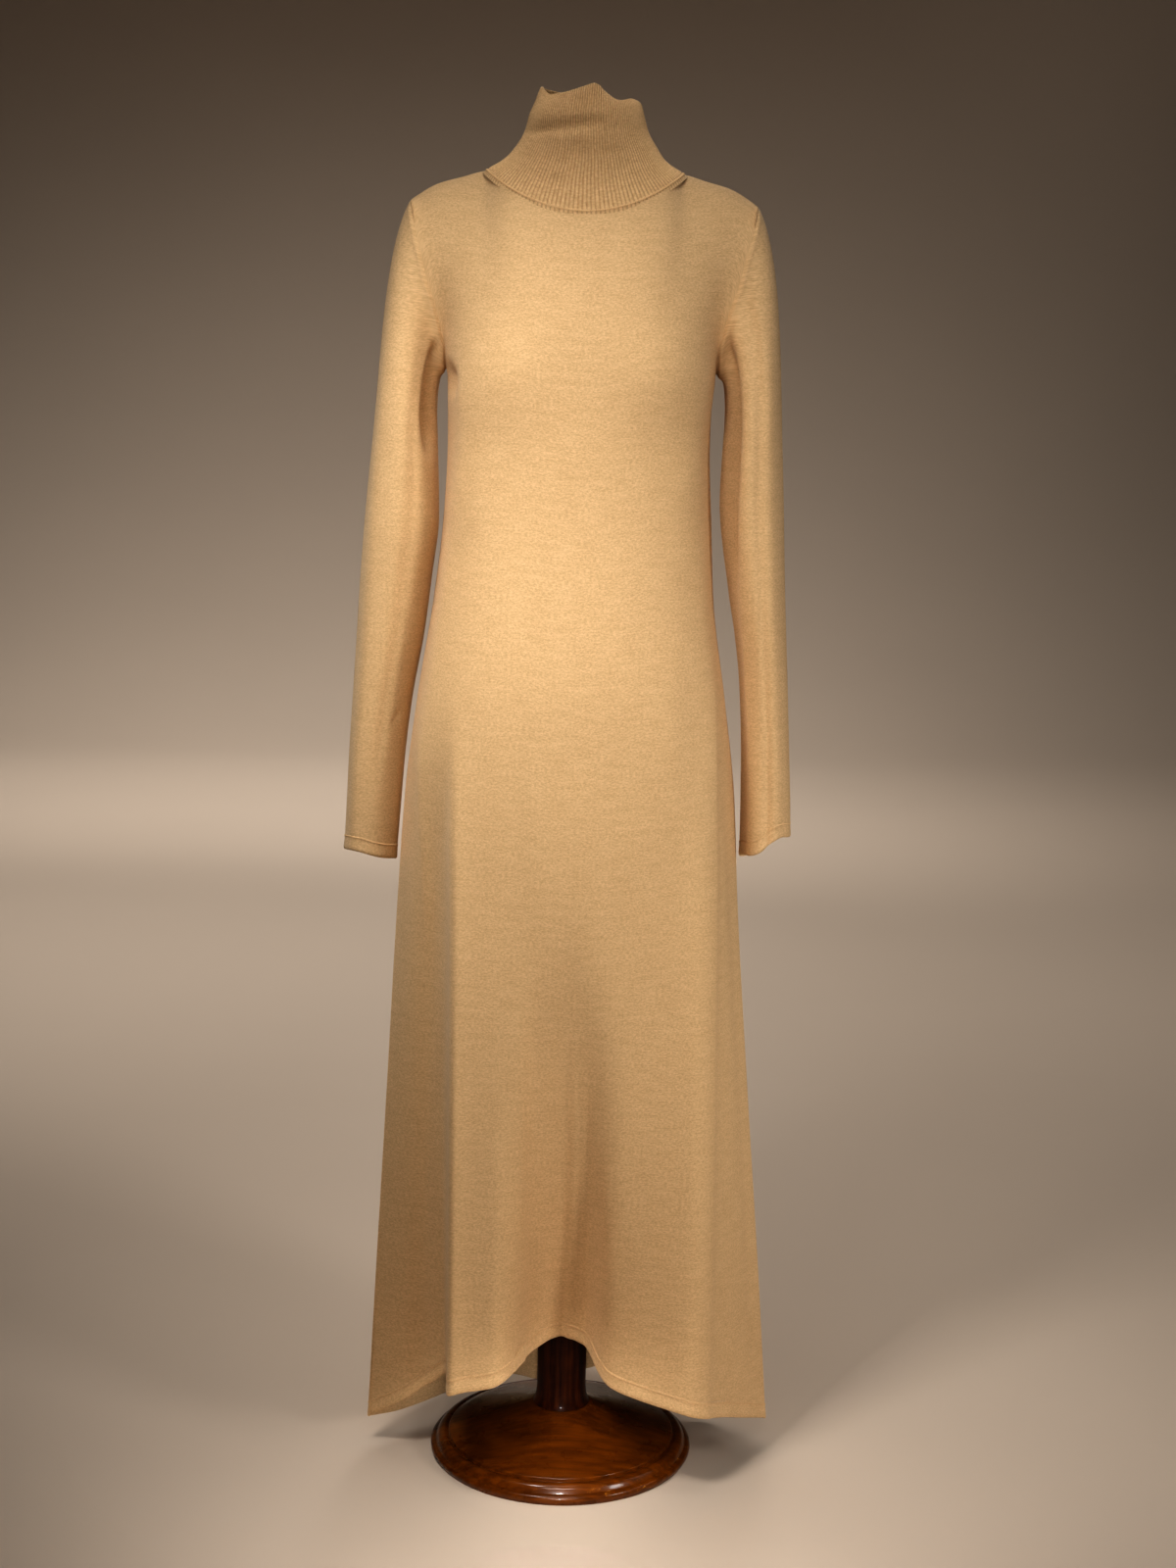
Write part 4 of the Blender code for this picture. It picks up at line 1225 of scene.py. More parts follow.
FRONT_CREASES = tuple(Crease(*row) for row in (
    # bust swells, and the hollows and folds that run from the underarms
    (((-0.084, 1.188),), 0.0085, 0.048, 0.048),
    (((0.08, 1.19),), 0.0095, 0.048, 0.048),
    (((-0.134, 1.206), (-0.129, 1.184), (-0.126, 1.16)), -0.008, 0.008, 0.009, 0.5),
    (((-0.13, 1.205), (-0.1165, 1.18), (-0.113, 1.15), (-0.118, 1.091),
      (-0.129, 1.014)), 0.004, 0.02, 0.009),
    (((0.131, 1.215), (0.12, 1.175), (0.116, 1.12), (0.122, 1.04)), 0.003, 0.01, 0.02),
    (((-0.134, 1.064), (-0.122, 1.06), (-0.112, 1.062)), -0.0012, 0.003, 0.003),
    (((-0.136, 1.046), (-0.126, 1.041), (-0.119, 1.043)), -0.001, 0.003, 0.003),
    # the skirt: the valley left of the sharp fold, the middle valley and its left edge
    (((-0.146, 0.8), (-0.148, 0.659), (-0.153, 0.438), (-0.156, 0.268),
      (-0.158, -0.1)), -0.006, 0.014, 0.02, 0.25),
    (((-0.123, 0.88), (-0.1222, 0.7), (-0.12, 0.56), (-0.115, -0.1)), 0.0035, 0.01, 0.006, 0.2),
    (((-0.052, 0.64), (-0.05, 0.463), (-0.048, 0.348), (-0.048, 0.07)), 0.0045, 0.01, 0.022, 0.32),
    (((-0.002, 0.68), (0.0, 0.463), (0.002, 0.348), (0.004, 0.07)), -0.008, 0.034, 0.04, 0.34),
    (((0.044, 0.64), (0.048, 0.42), (0.05, 0.25), (0.052, -0.1)), 0.0065, 0.026, 0.024, 0.3),
    # long faint creases
    (((0.1411, 0.922), (0.15, 0.668), (0.1545, 0.404), (0.159, -0.05)),
     0.0026, 0.004, 0.014, 0.15),
    (((0.1495, 0.875), (0.1682, 0.661), (0.196, 0.348), (0.215, 0.06)),
     -0.0014, 0.004, 0.005, 0.2),
    (((-0.1621, 0.862), (-0.1591, 0.744), (-0.1544, 0.552)), 0.002, 0.006, 0.004),
    (((0.098, 0.96), (0.102, 0.74), (0.106, 0.52)), 0.0013, 0.012, 0.016),
    (((0.006, 0.56), (0.0075, 0.38), (0.0065, -0.05)), 0.0014, 0.004, 0.004),
    (((0.021, 0.52), (0.0235, 0.34), (0.024, -0.05)), -0.0012, 0.004, 0.005),
    (((-0.002, 0.42), (-0.001, 0.26), (-0.001, -0.05)), -0.001, 0.003, 0.003),
    (((-0.056, 0.9), (-0.06, 0.7), (-0.062, 0.48)), -0.001, 0.018, 0.014),
    (((0.038, 0.88), (0.04, 0.69), (0.042, 0.5)), -0.001, 0.014, 0.018),
))

BACK_CREASES = tuple(Crease(*row) for row in (
    # soft folds from the shoulder blades and the underarms
    (((-0.1, 1.33), (-0.08, 1.24), (-0.03, 1.15)), 0.0026, 0.018, 0.028),
    (((0.105, 1.325), (0.09, 1.23), (0.045, 1.13)), 0.0024, 0.018, 0.03),
    (((-0.127, 1.2), (-0.118, 1.15), (-0.114, 1.08), (-0.122, 1.0)), 0.0035, 0.018, 0.009),
    (((0.127, 1.205), (0.117, 1.14), (0.115, 1.07), (0.124, 0.99)), 0.003, 0.009, 0.018),
    # cloth that settles in the hollow of the back
    (((-0.07, 1.062), (0.0, 1.048), (0.064, 1.058)), -0.002, 0.01, 0.013),
    (((-0.046, 1.022), (0.01, 1.012), (0.058, 1.02)), -0.0014, 0.009, 0.011),
    # long creases of the skirt
    (((-0.118, 0.9), (-0.116, 0.64), (-0.114, 0.38), (-0.112, -0.1)), -0.0045, 0.012, 0.02, 0.25),
    (((-0.028, 0.76), (-0.026, 0.52), (-0.023, -0.1)), -0.005, 0.02, 0.012, 0.3),
    (((0.094, 0.82), (0.1, 0.56), (0.106, -0.1)), -0.004, 0.014, 0.016, 0.3),
    (((0.036, 0.7), (0.042, 0.46), (0.048, -0.1)), 0.003, 0.012, 0.01, 0.3),
    (((-0.148, 0.9), (-0.162, 0.62), (-0.176, 0.3)), 0.0018, 0.006, 0.008),
    (((0.144, 0.94), (0.164, 0.64), (0.184, 0.26)), -0.0016, 0.005, 0.007),
))


class SleeveLevel(NamedTuple):
    """Level section of a sleeve: outer and inner side, front and back."""

    z: float
    outer: float
    inner: float
    front: float
    back: float


@dataclass
class Sleeve:
    """Set-in sleeve that hangs from its armhole to its turned cuff."""

    name: str
    cuff_name: str
    hand: float
    levels: tuple[SleeveLevel, ...]
    cuff_outer_z: float
    cuff_inner_z: float
    cuff_crisp: float
    armpit: float
    creases: tuple[Crease, ...] = ()
    cut: DressCut = field(default_factory=DressCut)
    top_z: float = 1.12
    split: float = 0.3
    rows: int = 240
    outer_power: float = 0.85  # below 1 the section is flat in front and behind
    inner_power: float = 1.25  # above 1 its body side falls back
    radius: float = 0.038  # turns an angle into a distance for the creases
    tuck: float = 0.004  # how far its edge goes under the panels
    tuck_depth: float = 0.35  # how deep under them, as a share of that
    cuff_tilt: float = 0.006  # how much higher the cuff's edge is in front than midway
    cuff_profile: Profile = (  # as the hem's
        (0.017, -0.0005), (0.0165, -0.0001), (0.0157, 0.0002), (0.0147, 0.0003),
        (0.0138, 0.0002), (0.0128, 0.0001), (0.009, 0.0003), (0.004, 0.0006),
        (0.0016, 0.0005), (0.0003, -0.0003), (0.0, -0.0012), (0.0004, -0.0021),
        (0.0016, -0.0026), (0.008, -0.0027), (0.014, -0.0026), (0.0158, -0.0016),
    )
    stitch_height: float = 0.0151
    stitch_stand: float = 0.0005
    edge_rows: int = 8  # rows above the edge that give its way up the cloth
    calm_edge: float = 0.016  # width along the armhole that creases leave calm
    roll: Triple = (0.0045, 0.001, 0.0028)  # its place, height, width
    roll_end: float = 0.93  # turn at which the roll beside the seam has died away
    roll_ease: float = 0.1
    cap_pull: float = 0.2  # how straight the cloth leaves the armhole
    cap_out: Triple = (0.25, 0.24, 0.35)  # its way out: everywhere, more at the top, more midway
    cap_swell: float = 0.1  # its way forwards or backwards, midway
    cap_drop: float = 0.87
    armpit_way: Triple = (0.83, 0.0, -0.55)
    hang_pull: float = 0.36  # how straight it goes into its hanging part

    def angles(self) -> Grid:
        """Angles of the columns, from the body side round the front; each meets a panel row."""
        count = BodyPanel.chest_rows
        return math.pi - math.pi * np.arange(2 * count) / count

    def turns(self) -> Grid:
        """Place of each column on the armhole: 0 is the underarm and 1 the shoulder tip."""
        return 1.0 - np.abs(self.angles()) / math.pi

    def section(self, z: Grid, angle: float) -> Grid:
        """Points of a level section; angle 0 is outside, 90 degrees front.

        Args:
            z: Heights.
            angle: Angle of the column.

        Returns:
            The points.
        """
        outer, inner = read(self.levels, "outer", z), read(self.levels, "inner", z)
        front, back = read(self.levels, "front", z), read(self.levels, "back", z)
        power = self.outer_power if math.cos(angle) >= 0 else self.inner_power
        swing = math.copysign(abs(math.sin(angle)) ** power, math.sin(angle))
        x = (outer + inner) / 2 + (outer - inner) / 2 * math.cos(angle)
        y = (back + front) / 2 - (back - front) / 2 * swing
        return np.stack([self.hand * x, y, np.atleast_1d(z)], axis=-1)

    def cuff_edge(self, angle: float) -> float:
        """Height of the cuff's edge; the body side hangs lower.

        Args:
            angle: Angle of the column.

        Returns:
            The height.
        """
        part = max(-1.0, min(1.0, self.cuff_crisp * math.cos(angle)))
        middle = (self.cuff_outer_z + self.cuff_inner_z) / 2
        half = (self.cuff_outer_z - self.cuff_inner_z) / 2
        return middle + half * math.sin(math.pi / 2 * part) + self.cuff_tilt * math.sin(angle)

    def column(self, angle: float, share: Grid) -> Grid:
        """Points of one column from the armhole (0) to the cuff's edge (1).

        Args:
            angle: Angle of the column.
            share: Places along it.

        Returns:
            The points.
        """
        side = -1.0 if angle >= 0 else 1.0
        turn = 1.0 - abs(angle) / math.pi
        ring = self.cut.armhole_points(turn, self.hand, side)[0]
        goal, lower = self.section(np.array([self.top_z, self.top_z - 0.05]), angle)
        fall = np.linalg.norm(goal - ring)
        under = (1.0 - turn) ** 3
        bow = math.sin(math.pi * turn)
        always, high, midway = self.cap_out
        out = unit(np.array([self.hand * (always + high * turn + midway * bow),
                             side * self.cap_swell * bow, -self.cap_drop]))
        mirrored = np.array(self.armpit_way) * np.array([self.hand, 1.0, 1.0])
        out = (out * fall * self.cap_pull * (1.0 - under) + mirrored * self.armpit * under)
        upper = bezier(ring, ring + out, goal + unit(goal - lower) * fall * self.hang_pull,
                       goal, np.clip(share / self.split, 0.0, 1.0))
        part = np.clip((share - self.split) / (1.0 - self.split), 0.0, 1.0)
        hanging = self.section(self.top_z + (self.cuff_edge(angle) - self.top_z) * part, angle)
        return np.where((share <= self.split)[:, None], upper, hanging)

    def outer(self) -> tuple[Grid, Grid]:
        """Outer points with creases, and the directions out of the cloth.

        Returns:
            The points and the directions.
        """
        share = np.linspace(0.0, 1.0, self.rows + 1)
        angles = self.angles()
        grid = np.stack([self.column(angle, share) for angle in angles], axis=1)
        normals = ring_normals(grid)
        lift = crease_rise(self.creases, paired(angles * self.radius, grid[..., 2]))
        down = arc_lengths(grid, 0)
        place, height, width = self.roll
        lift = lift * ease(down / self.calm_edge) + seam_dip(down)
        lift -= (seam_dip(down - place, height, width)
                 * ease((self.roll_end - self.turns()) / self.roll_ease))
        grid = grid + normals * lift[..., None]
        grid = np.concatenate([self.allowance(grid[0])[None], grid])
        return grid, np.concatenate([normals[:1], normals])

    def allowance(self, ring: Grid) -> Grid:
        """Points of the sleeve's edge, tucked under the panels beyond the armhole's ring.

        Args:
            ring: Outer points at the armhole.

        Returns:
            The points.
        """
        rise = np.pi / 2 * self.turns()
        side = np.where(self.angles() >= 0, -1.0, 1.0)
        inward = np.array([-self.hand, 0.0, 0.0]) * self.tuck
        out = np.stack([np.zeros(len(rise)), side * np.cos(rise), np.sin(rise)], axis=-1)
        return ring + inward - out * (self.tuck * self.tuck_depth)

    def weave(self, grid: Grid) -> Grid:
        """Cloth coordinates: level distance round the sleeve, and height up from its cuff."""
        closed = closed_rows(grid)
        return cloth_places(closed, arc_lengths(closed[::-1], 0)[::-1] + closed[-1:, :, 2])

    def stitch_path(self) -> tuple[Grid, Grid]:
        """Line of the cuff's stitches, and the directions out of the cloth."""
        edge = self.edge(*self.outer())
        return edge.line(self.stitch_height, self.stitch_stand), edge.level

    def edge(self, grid: Grid, normals: Grid) -> Edge:
        """Edge of the cuff."""
        rise = unit(grid[-1 - self.edge_rows] - grid[-1])
        return Edge(grid[-1], rise, unit(normals[-1] * LEVEL_WAY))

    def build(self) -> tuple[Piece, Piece]:
        """Build the sleeve above its cuff, and the turned cuff.

        Returns:
            The sleeve and the cuff.
        """
        grid, normals = self.outer()
        weave = self.weave(grid)
        below = arc_lengths(grid[::-1], 0)[::-1]
        skip = int(np.searchsorted(-below.mean(axis=1), -self.cut.cuff_band))
        skip -= skip % 2
        sleeve = cloth_wall(self.name, grid[:skip + 1], normals[:skip + 1],
                            weave[:skip + 1], self.cut.wall, wrap=True)
        edge = self.edge(grid, normals)
        return sleeve, edge.band(self.cuff_name, self.cuff_profile, weave[-1, :, 0], True)


RIGHT_LEVELS = tuple(SleeveLevel(*row) for row in (
    (1.12, 0.2138, 0.147, -0.062, 0.056),
    (1.04, 0.2216, 0.145, -0.058, 0.056),
    (0.977, 0.2267, 0.152, -0.05, 0.056),
    (0.915, 0.2307, 0.16, -0.042, 0.055),
    (0.852, 0.2347, 0.1712, -0.035, 0.052),
    (0.789, 0.2387, 0.179, -0.03, 0.048),
    (0.725, 0.2417, 0.184, -0.026, 0.046),
    (0.665, 0.245, 0.1885, -0.024, 0.044),
))

LEFT_LEVELS = tuple(SleeveLevel(*row) for row in (
    (1.12, 0.2092, 0.148, -0.062, 0.056),
    (1.067, 0.2125, 0.1465, -0.058, 0.056),
    (0.965, 0.218, 0.159, -0.05, 0.054),
    (0.92, 0.221, 0.167, -0.044, 0.052),
    (0.869, 0.2244, 0.1735, -0.038, 0.05),
    (0.79, 0.2292, 0.178, -0.032, 0.048),
    (0.731, 0.2326, 0.1792, -0.028, 0.046),
    (0.68, 0.234, 0.1796, -0.026, 0.044),
))

RIGHT_CREASES = tuple(Crease(*row) for row in (
    (((0.0683, 1.335), (0.0736, 1.265), (0.0743, 1.169), (0.0745, 1.07), (0.072, 0.967),
      (0.068, 0.863), (0.064, 0.74)), -0.0026, 0.007, 0.01, 0.12),
    (((0.083, 1.295), (0.093, 1.262), (0.106, 1.235)), 0.004, 0.008, 0.01),
    (((0.088, 1.29), (0.09, 1.24), (0.0915, 1.18), (0.096, 1.09)), -0.014, 0.014, 0.008, 0.3),
    (((0.1, 1.19), (0.0985, 1.1), (0.096, 0.96), (0.099, 0.8), (0.101, 0.64)),
     0.0014, 0.008, 0.01, 0.2),
    (((0.033, 1.25), (0.03, 1.08), (0.036, 0.9), (0.034, 0.64)), 0.002, 0.01, 0.012, 0.2),
    (((0.089, 0.84), (0.082, 0.825), (0.073, 0.822)), -0.001, 0.004, 0.004),
    (((-0.064, 1.32), (-0.07, 1.18), (-0.068, 1.0), (-0.074, 0.8),
      (-0.072, 0.64)), -0.003, 0.008, 0.007, 0.12),
    (((-0.098, 1.23), (-0.096, 1.08), (-0.099, 0.88)), 0.0026, 0.008, 0.007),
    (((-0.028, 1.12), (-0.024, 0.96), (-0.03, 0.78)), 0.0018, 0.012, 0.01),
))

LEFT_CREASES = tuple(Crease(*row) for row in (
    (((0.0743, 1.31), (0.0736, 1.244), (0.0756, 1.155), (0.075, 1.077), (0.0822, 0.975),
      (0.0875, 0.87), (0.0836, 0.765), (0.084, 0.64)), 0.0042, 0.007, 0.012, 0.1),
    (((0.085, 1.32), (0.0865, 1.25), (0.087, 1.15), (0.089, 1.06), (0.093, 0.94)),
     -0.011, 0.014, 0.0095, 0.28),
    (((0.061, 1.33), (0.0557, 1.176), (0.055, 1.027), (0.061, 0.873), (0.06, 0.64)),
     -0.0022, 0.006, 0.006, 0.1),
    (((0.05, 1.3), (0.044, 1.16), (0.044, 1.01), (0.048, 0.86), (0.047, 0.64)),
     0.0018, 0.007, 0.012, 0.15),
    (((-0.06, 1.325), (-0.066, 1.2), (-0.07, 1.02), (-0.066, 0.84),
      (-0.07, 0.64)), -0.003, 0.007, 0.008, 0.12),
    (((-0.096, 1.24), (-0.099, 1.06), (-0.095, 0.9)), 0.0026, 0.007, 0.008),
    (((-0.022, 1.08), (-0.027, 0.94), (-0.021, 0.8)), 0.0018, 0.01, 0.012),
))


class CollarRing(NamedTuple):
    """Ring of the collar: side edges, depths, and heights round the turn."""

    x_min: float
    x_max: float
    front: float
    back: float
    z_front: float
    z_side: float
    z_back: float


@dataclass
class Collar:
    """Ribbed turtleneck collar linked to the neckline by a raised ridge."""

    name: str = "rib_collar"
    cut: DressCut = field(default_factory=DressCut)
    ribs: int = 138
    columns_per_rib: int = 6
    rows: int = 56
    rib_height: float = 0.0011
    rib_pitch: float = 0.0026  # width of a rib in cloth coordinates
    wall: float = 0.0021
    ridge_height: float = 0.0026
    ridge_proud: float = 0.0008
    tuck: float = 0.0035  # how far its edge goes under the panels
    tuck_depth: float = 0.4  # how deep under them, as a share of that
    side_slope: Pair = (1.0, 0.3)  # run of the panels there, outwards and down
    front_slope: Pair = (0.25, 0.97)
    link_place: float = 0.3  # height of the linking stitches, as a share of the ridge's
    link_stand: float = 0.0001
    rib_start: float = 0.003  # height above the ridge over which the ribs start
    rim_fade: float = 0.004  # height below the rim over which they grow flatter
    rim_flat: float = 0.6
    inner_step: int = 4  # the inner side has every fourth row of the outer
    lip: Profile = (  # share of the wall's thickness, rise
        (0.15, 0.7), (0.5, 1.0), (0.85, 0.7),
    )
    lip_rise: float = 0.35  # as a share of the wall's thickness
    rings: tuple[CollarRing, ...] = tuple(CollarRing(*row) for row in (
        (-0.0805, 0.081, -0.065, 0.057, 1.3815, 1.402, 1.412),
        (-0.069, 0.0715, -0.0605, 0.0555, 1.399, 1.415, 1.423),
        (-0.0605, 0.0625, -0.0575, 0.054, 1.4155, 1.4305, 1.4325),
        (-0.0566, 0.058, -0.055, 0.053, 1.4405, 1.4455, 1.4465),
        (-0.0515, 0.0545, -0.048, 0.047, 1.4555, 1.4575, 1.4585),
        (-0.046, 0.051, -0.039, 0.04, 1.4695, 1.4655, 1.4685),
    ))
    rim: Profile = (  # degrees from +X through the front, lift
        (0.0, -0.005), (27.0, -0.0045), (53.0, -0.0085), (71.5, -0.0015), (78.0, 0.0036),
        (84.5, 0.0054), (92.5, 0.0034), (104.5, 0.0003), (122.5, -0.0026), (139.0, -0.0032),
        (159.5, 0.003), (172.0, 0.0068), (190.0, 0.0066), (208.0, 0.0054), (231.0, 0.0026),
        (262.0, -0.001), (300.0, -0.0045), (335.0, -0.0055), (360.0, -0.005),
    )
    creases: tuple[Crease, ...] = tuple(Crease(*row) for row in (  # degrees / 1000, height
        (((0.06, 1.437), (0.095, 1.435), (0.13, 1.43), (0.168, 1.426)),
         -0.0038, 0.0065, 0.0055, 0.35),
        (((0.03, 1.416), (0.08, 1.42), (0.14, 1.415)), 0.0012, 0.008, 0.01),
        (((-0.08, 1.442), (-0.02, 1.444)), -0.002, 0.006, 0.006),
        (((0.2, 1.44), (0.255, 1.443)), -0.002, 0.006, 0.006),
    ))
    crease_scale: float = 0.001

    def angles(self) -> Grid:
        """Angles of the columns, from the back's middle round; 90 degrees is the front."""
        count = self.ribs * self.columns_per_rib
        return -math.pi / 2 + math.tau * np.arange(count) / count

    def ring_points(self, ring: CollarRing, angles: Grid) -> Grid:
        """Points of one ring.

        Args:
            ring: The ring.
            angles: Angles of the columns.

        Returns:
            The points.
        """
        forward = np.sin(angles)
        depth = np.where(forward > 0, -ring.front, ring.back)
        height = np.where(forward > 0, ring.z_front, ring.z_back)
        middle, half = (ring.x_min + ring.x_max) / 2, (ring.x_max - ring.x_min) / 2
        z = ring.z_side + (height - ring.z_side) * np.abs(forward) ** NECK_POWER
        return np.stack([middle + half * np.cos(angles), -depth * forward, z], axis=-1)

    def foot(self, angles: Grid) -> Grid:
        """Points on the panels' neckline.

        Args:
            angles: Angles of the columns.

        Returns:
            The points.
        """
        turn = 1.0 - 2.0 * np.mod(angles, math.tau) / math.pi
        front = self.cut.neckline(np.clip(turn, -1, 1), -1.0)
        back_turn = np.where(turn < -1.0, -2.0 - turn, 0.0)
        back = self.cut.neckline(np.clip(back_turn, -1, 1), 1.0)
        return np.where((np.sin(angles) >= 0)[:, None], front, back)

    def outer(self) -> tuple[Grid, Grid]:
        """Outer points from the foot to the rim, and the directions out of the cloth.

        Returns:
            The points and the directions.
        """
        angles = self.angles()
        rim = np.array(self.rim)
        rings = [self.foot(angles)] + [self.ring_points(ring, angles) for ring in self.rings]
        turned = np.mod(np.degrees(angles), 360.0)
        rings[-1][:, 2] += smooth(rim[:, 1:], rim[:, 0], turned)[:, 0]
        stack = np.array(rings)
        knots = running(np.linalg.norm(np.diff(stack, axis=0), axis=2).mean(axis=1))
        at = np.linspace(0.0, knots[-1], self.rows + 1)
        grid = smooth(stack.reshape(len(stack), -1), knots, at).reshape(len(at), -1, 3)
        normals = ring_normals(grid)
        places = paired(np.degrees(angles) * self.crease_scale, grid[..., 2])
        lift = crease_rise(self.creases, places)
        return grid + normals * lift[..., None], normals

    def build(self, ribs: "RibTree", material: Material) -> Piece:
        """Build the collar's wall and raise its ribs.

        Args:
            ribs: Tree that raises the ribs.
            material: Finish of the collar.

        Returns:
            The collar.
        """
        grid, normals = self.outer()
        climb = arc_lengths(grid, 0).mean(axis=1)
        ridge = np.exp(-((climb - self.ridge_height / 2) / (self.ridge_height / 2)) ** 4)
        grid = grid + normals * (ridge * self.ridge_proud)[:, None, None]
        across = np.arange(grid.shape[1] + 1) / self.columns_per_rib * self.rib_pitch
        up = arc_lengths(grid, 0).mean(axis=1)
        rise = ease((climb - self.ridge_height) / self.rib_start) * (
            1.0 - self.rim_flat * ease((climb - climb[-1] + self.rim_fade) / self.rim_fade))
        inner = grid - normals * self.wall
        lip = unit(grid[-1] - grid[-2]) * self.wall * self.lip_rise
        rim = [grid[-1] * (1.0 - part) + inner[-1] * part + lip * lift for part, lift in self.lip]
        loop = np.concatenate([self.allowance(grid[0])[None], grid, rim,
                               inner[::-self.inner_step]])
        heights = np.concatenate([[-self.tuck], up, np.full(len(rim), up[-1]),
                                  up[::-self.inner_step]])
        collar = band_loop(self.name, loop, paired(across, heights[:, None]), wrap=True)
        outside = slice(1, len(grid) + 1)
        strength = np.zeros(loop.shape[:2])
        strength[outside] = (rise * self.rib_height)[:, None]
        turn = np.broadcast_to(np.arange(grid.shape[1]) / grid.shape[1], strength.shape)
        outs = np.zeros(loop.shape)
        outs[outside] = normals
        set_points(collar, {"rise": strength.ravel(), "turn": turn.ravel(),
                            OUT: outs.reshape(-1, 3)})
        return ribs.apply(collar, {"Ribs": float(self.ribs), "Material": material})

    def allowance(self, foot: Grid) -> Grid:
        """Points of the collar's edge, tucked under the panels beyond its foot.

        Args:
            foot: Outer points at the foot.

        Returns:
            The points.
        """
        angles = self.angles()
        level = np.stack([np.cos(angles), -np.sin(angles), np.zeros(len(angles))], axis=-1)
        upright = np.array([0.0, 0.0, 1.0])
        across, along = np.abs(level[:, :1]), np.abs(level[:, 1:2])
        slope = unit(across * np.array(self.side_slope) + along * np.array(self.front_slope))
        down = level * slope[:, :1] - upright * slope[:, 1:]
        out = level * slope[:, 1:] + upright * slope[:, :1]
        return foot + down * self.tuck - out * (self.tuck * self.tuck_depth)

    def link_path(self) -> tuple[Grid, Grid]:
        """Line of the linking stitches on the ridge, and the directions out of the cloth.

        Returns:
            The line and the directions.
        """
        grid, normals = self.outer()
        climb = arc_lengths(grid, 0).mean(axis=1)
        row = int(np.searchsorted(climb, self.ridge_height * self.link_place))
        stand = self.ridge_proud + self.link_stand
        return grid[row] + normals[row] * stand, normals[row]


def set_points(piece: Piece, values: dict[str, Grid]) -> None:
    """Store point attributes on a piece: numbers, or vectors where the array is (n, 3).

    Args:
        piece: The piece.
        values: Values of all its points for each name.
    """
    for name, value in values.items():
        is_vector = value.ndim == 2
        kind = "FLOAT_VECTOR" if is_vector else "FLOAT"
        attribute = piece.data.attributes.new(name, kind, "POINT")
        attribute.data.foreach_set("vector" if is_vector else "value",
                                   value.astype(np.float32).ravel())


# --- what repeats along the cloth ---

class GeometryTree(NodeTree):
    """Geometry Nodes tree with named inputs."""

    def __init__(self, name: str, inputs: dict[str, tuple[str, object]]) -> None:
        """Make a tree with a geometry input and the named ones.

        Args:
            name: Name of the tree.
            inputs: Kind of socket and default value of each named input.
        """
        self.group = bpy.data.node_groups.new(name, "GeometryNodeTree")
        super().__init__(self.group)
        face = self.group.interface
        face.new_socket("Geometry", in_out="INPUT", socket_type="NodeSocketGeometry")
        for label, (kind, value) in inputs.items():
            socket = face.new_socket(label, in_out="INPUT", socket_type=kind)
            if value is not None:
                socket.default_value = value
        face.new_socket("Geometry", in_out="OUTPUT", socket_type="NodeSocketGeometry")
        self.entry = self.node("NodeGroupInput").outputs
        self.exit = self.node("NodeGroupOutput")

    def attribute(self, name: str, kind: str) -> Term:
        """Named attribute of the points."""
        node = self.node("GeometryNodeInputNamedAttribute", {"data_type": kind}, {"Name": name})
        return Term(self, node.outputs[0])

    def finish(self, geometry: bpy.types.Node) -> None:
        """End the tree with real geometry in the material of its input.

        Args:
            geometry: Node whose first output is the geometry.
        """
        real = self.node("GeometryNodeRealizeInstances", None, {0: geometry})
        done = self.node("GeometryNodeSetMaterial", None,
                         {"Geometry": real, "Material": self.entry["Material"]})
        self.feed(self.exit.inputs[0], done)

    def apply(self, piece: Piece, values: dict[str, object]) -> Piece:
        """Run the tree on a piece and keep its result as a plain mesh.

        Args:
            piece: Object that the tree runs on.
            values: Values of the named inputs.

        Returns:
            The same object with the finished mesh.
        """
        modifier = piece.modifiers.new(self.group.name, "NODES")
        modifier.node_group = self.group
        for item in self.group.interface.items_tree:
            if item.item_type == "SOCKET" and item.name in values:
                modifier[item.identifier] = values[item.name]
        bpy.context.view_layer.update()
        graph = bpy.context.evaluated_depsgraph_get()
        mesh = bpy.data.meshes.new_from_object(piece.evaluated_get(graph),
                                               preserve_all_data_layers=True,
                                               depsgraph=graph)
        piece.modifiers.clear()
        piece.data = mesh
        mesh.name = piece.name
        return piece


class RibTree(GeometryTree):
    """Raises ribs on a collar: its points move out by a wave round the turn."""

    def __init__(self) -> None:
        """Build the tree."""
        super().__init__("raised_ribs", {
            "Ribs": ("NodeSocketFloat", 200.0),
            "Material": ("NodeSocketMaterial", None),
        })
        turn, rise = self.attribute("turn", "FLOAT"), self.attribute("rise", "FLOAT")
        wave = (turn * self.entry["Ribs"] * math.tau).cosine()
        move = self.node("ShaderNodeVectorMath", {"operation": "SCALE"},
                         {0: self.attribute(OUT, "FLOAT_VECTOR"),
                          "Scale": (wave * 0.5 + 0.5) * rise})
        moved = self.node("GeometryNodeSetPosition", None,
                          {"Geometry": self.entry["Geometry"], "Offset": move})
        self.finish(moved)


@dataclass(frozen=True)
class StitchSizes:
    """Sizes of a row of stitches."""

    spacing: float = 0.0019
    length: float = 0.0022
    width: float = 0.0008
    height: float = 0.0005
    slant: float = 0.55  # radians from the row's direction
    jitter: float = 0.12
    seed: int = 7


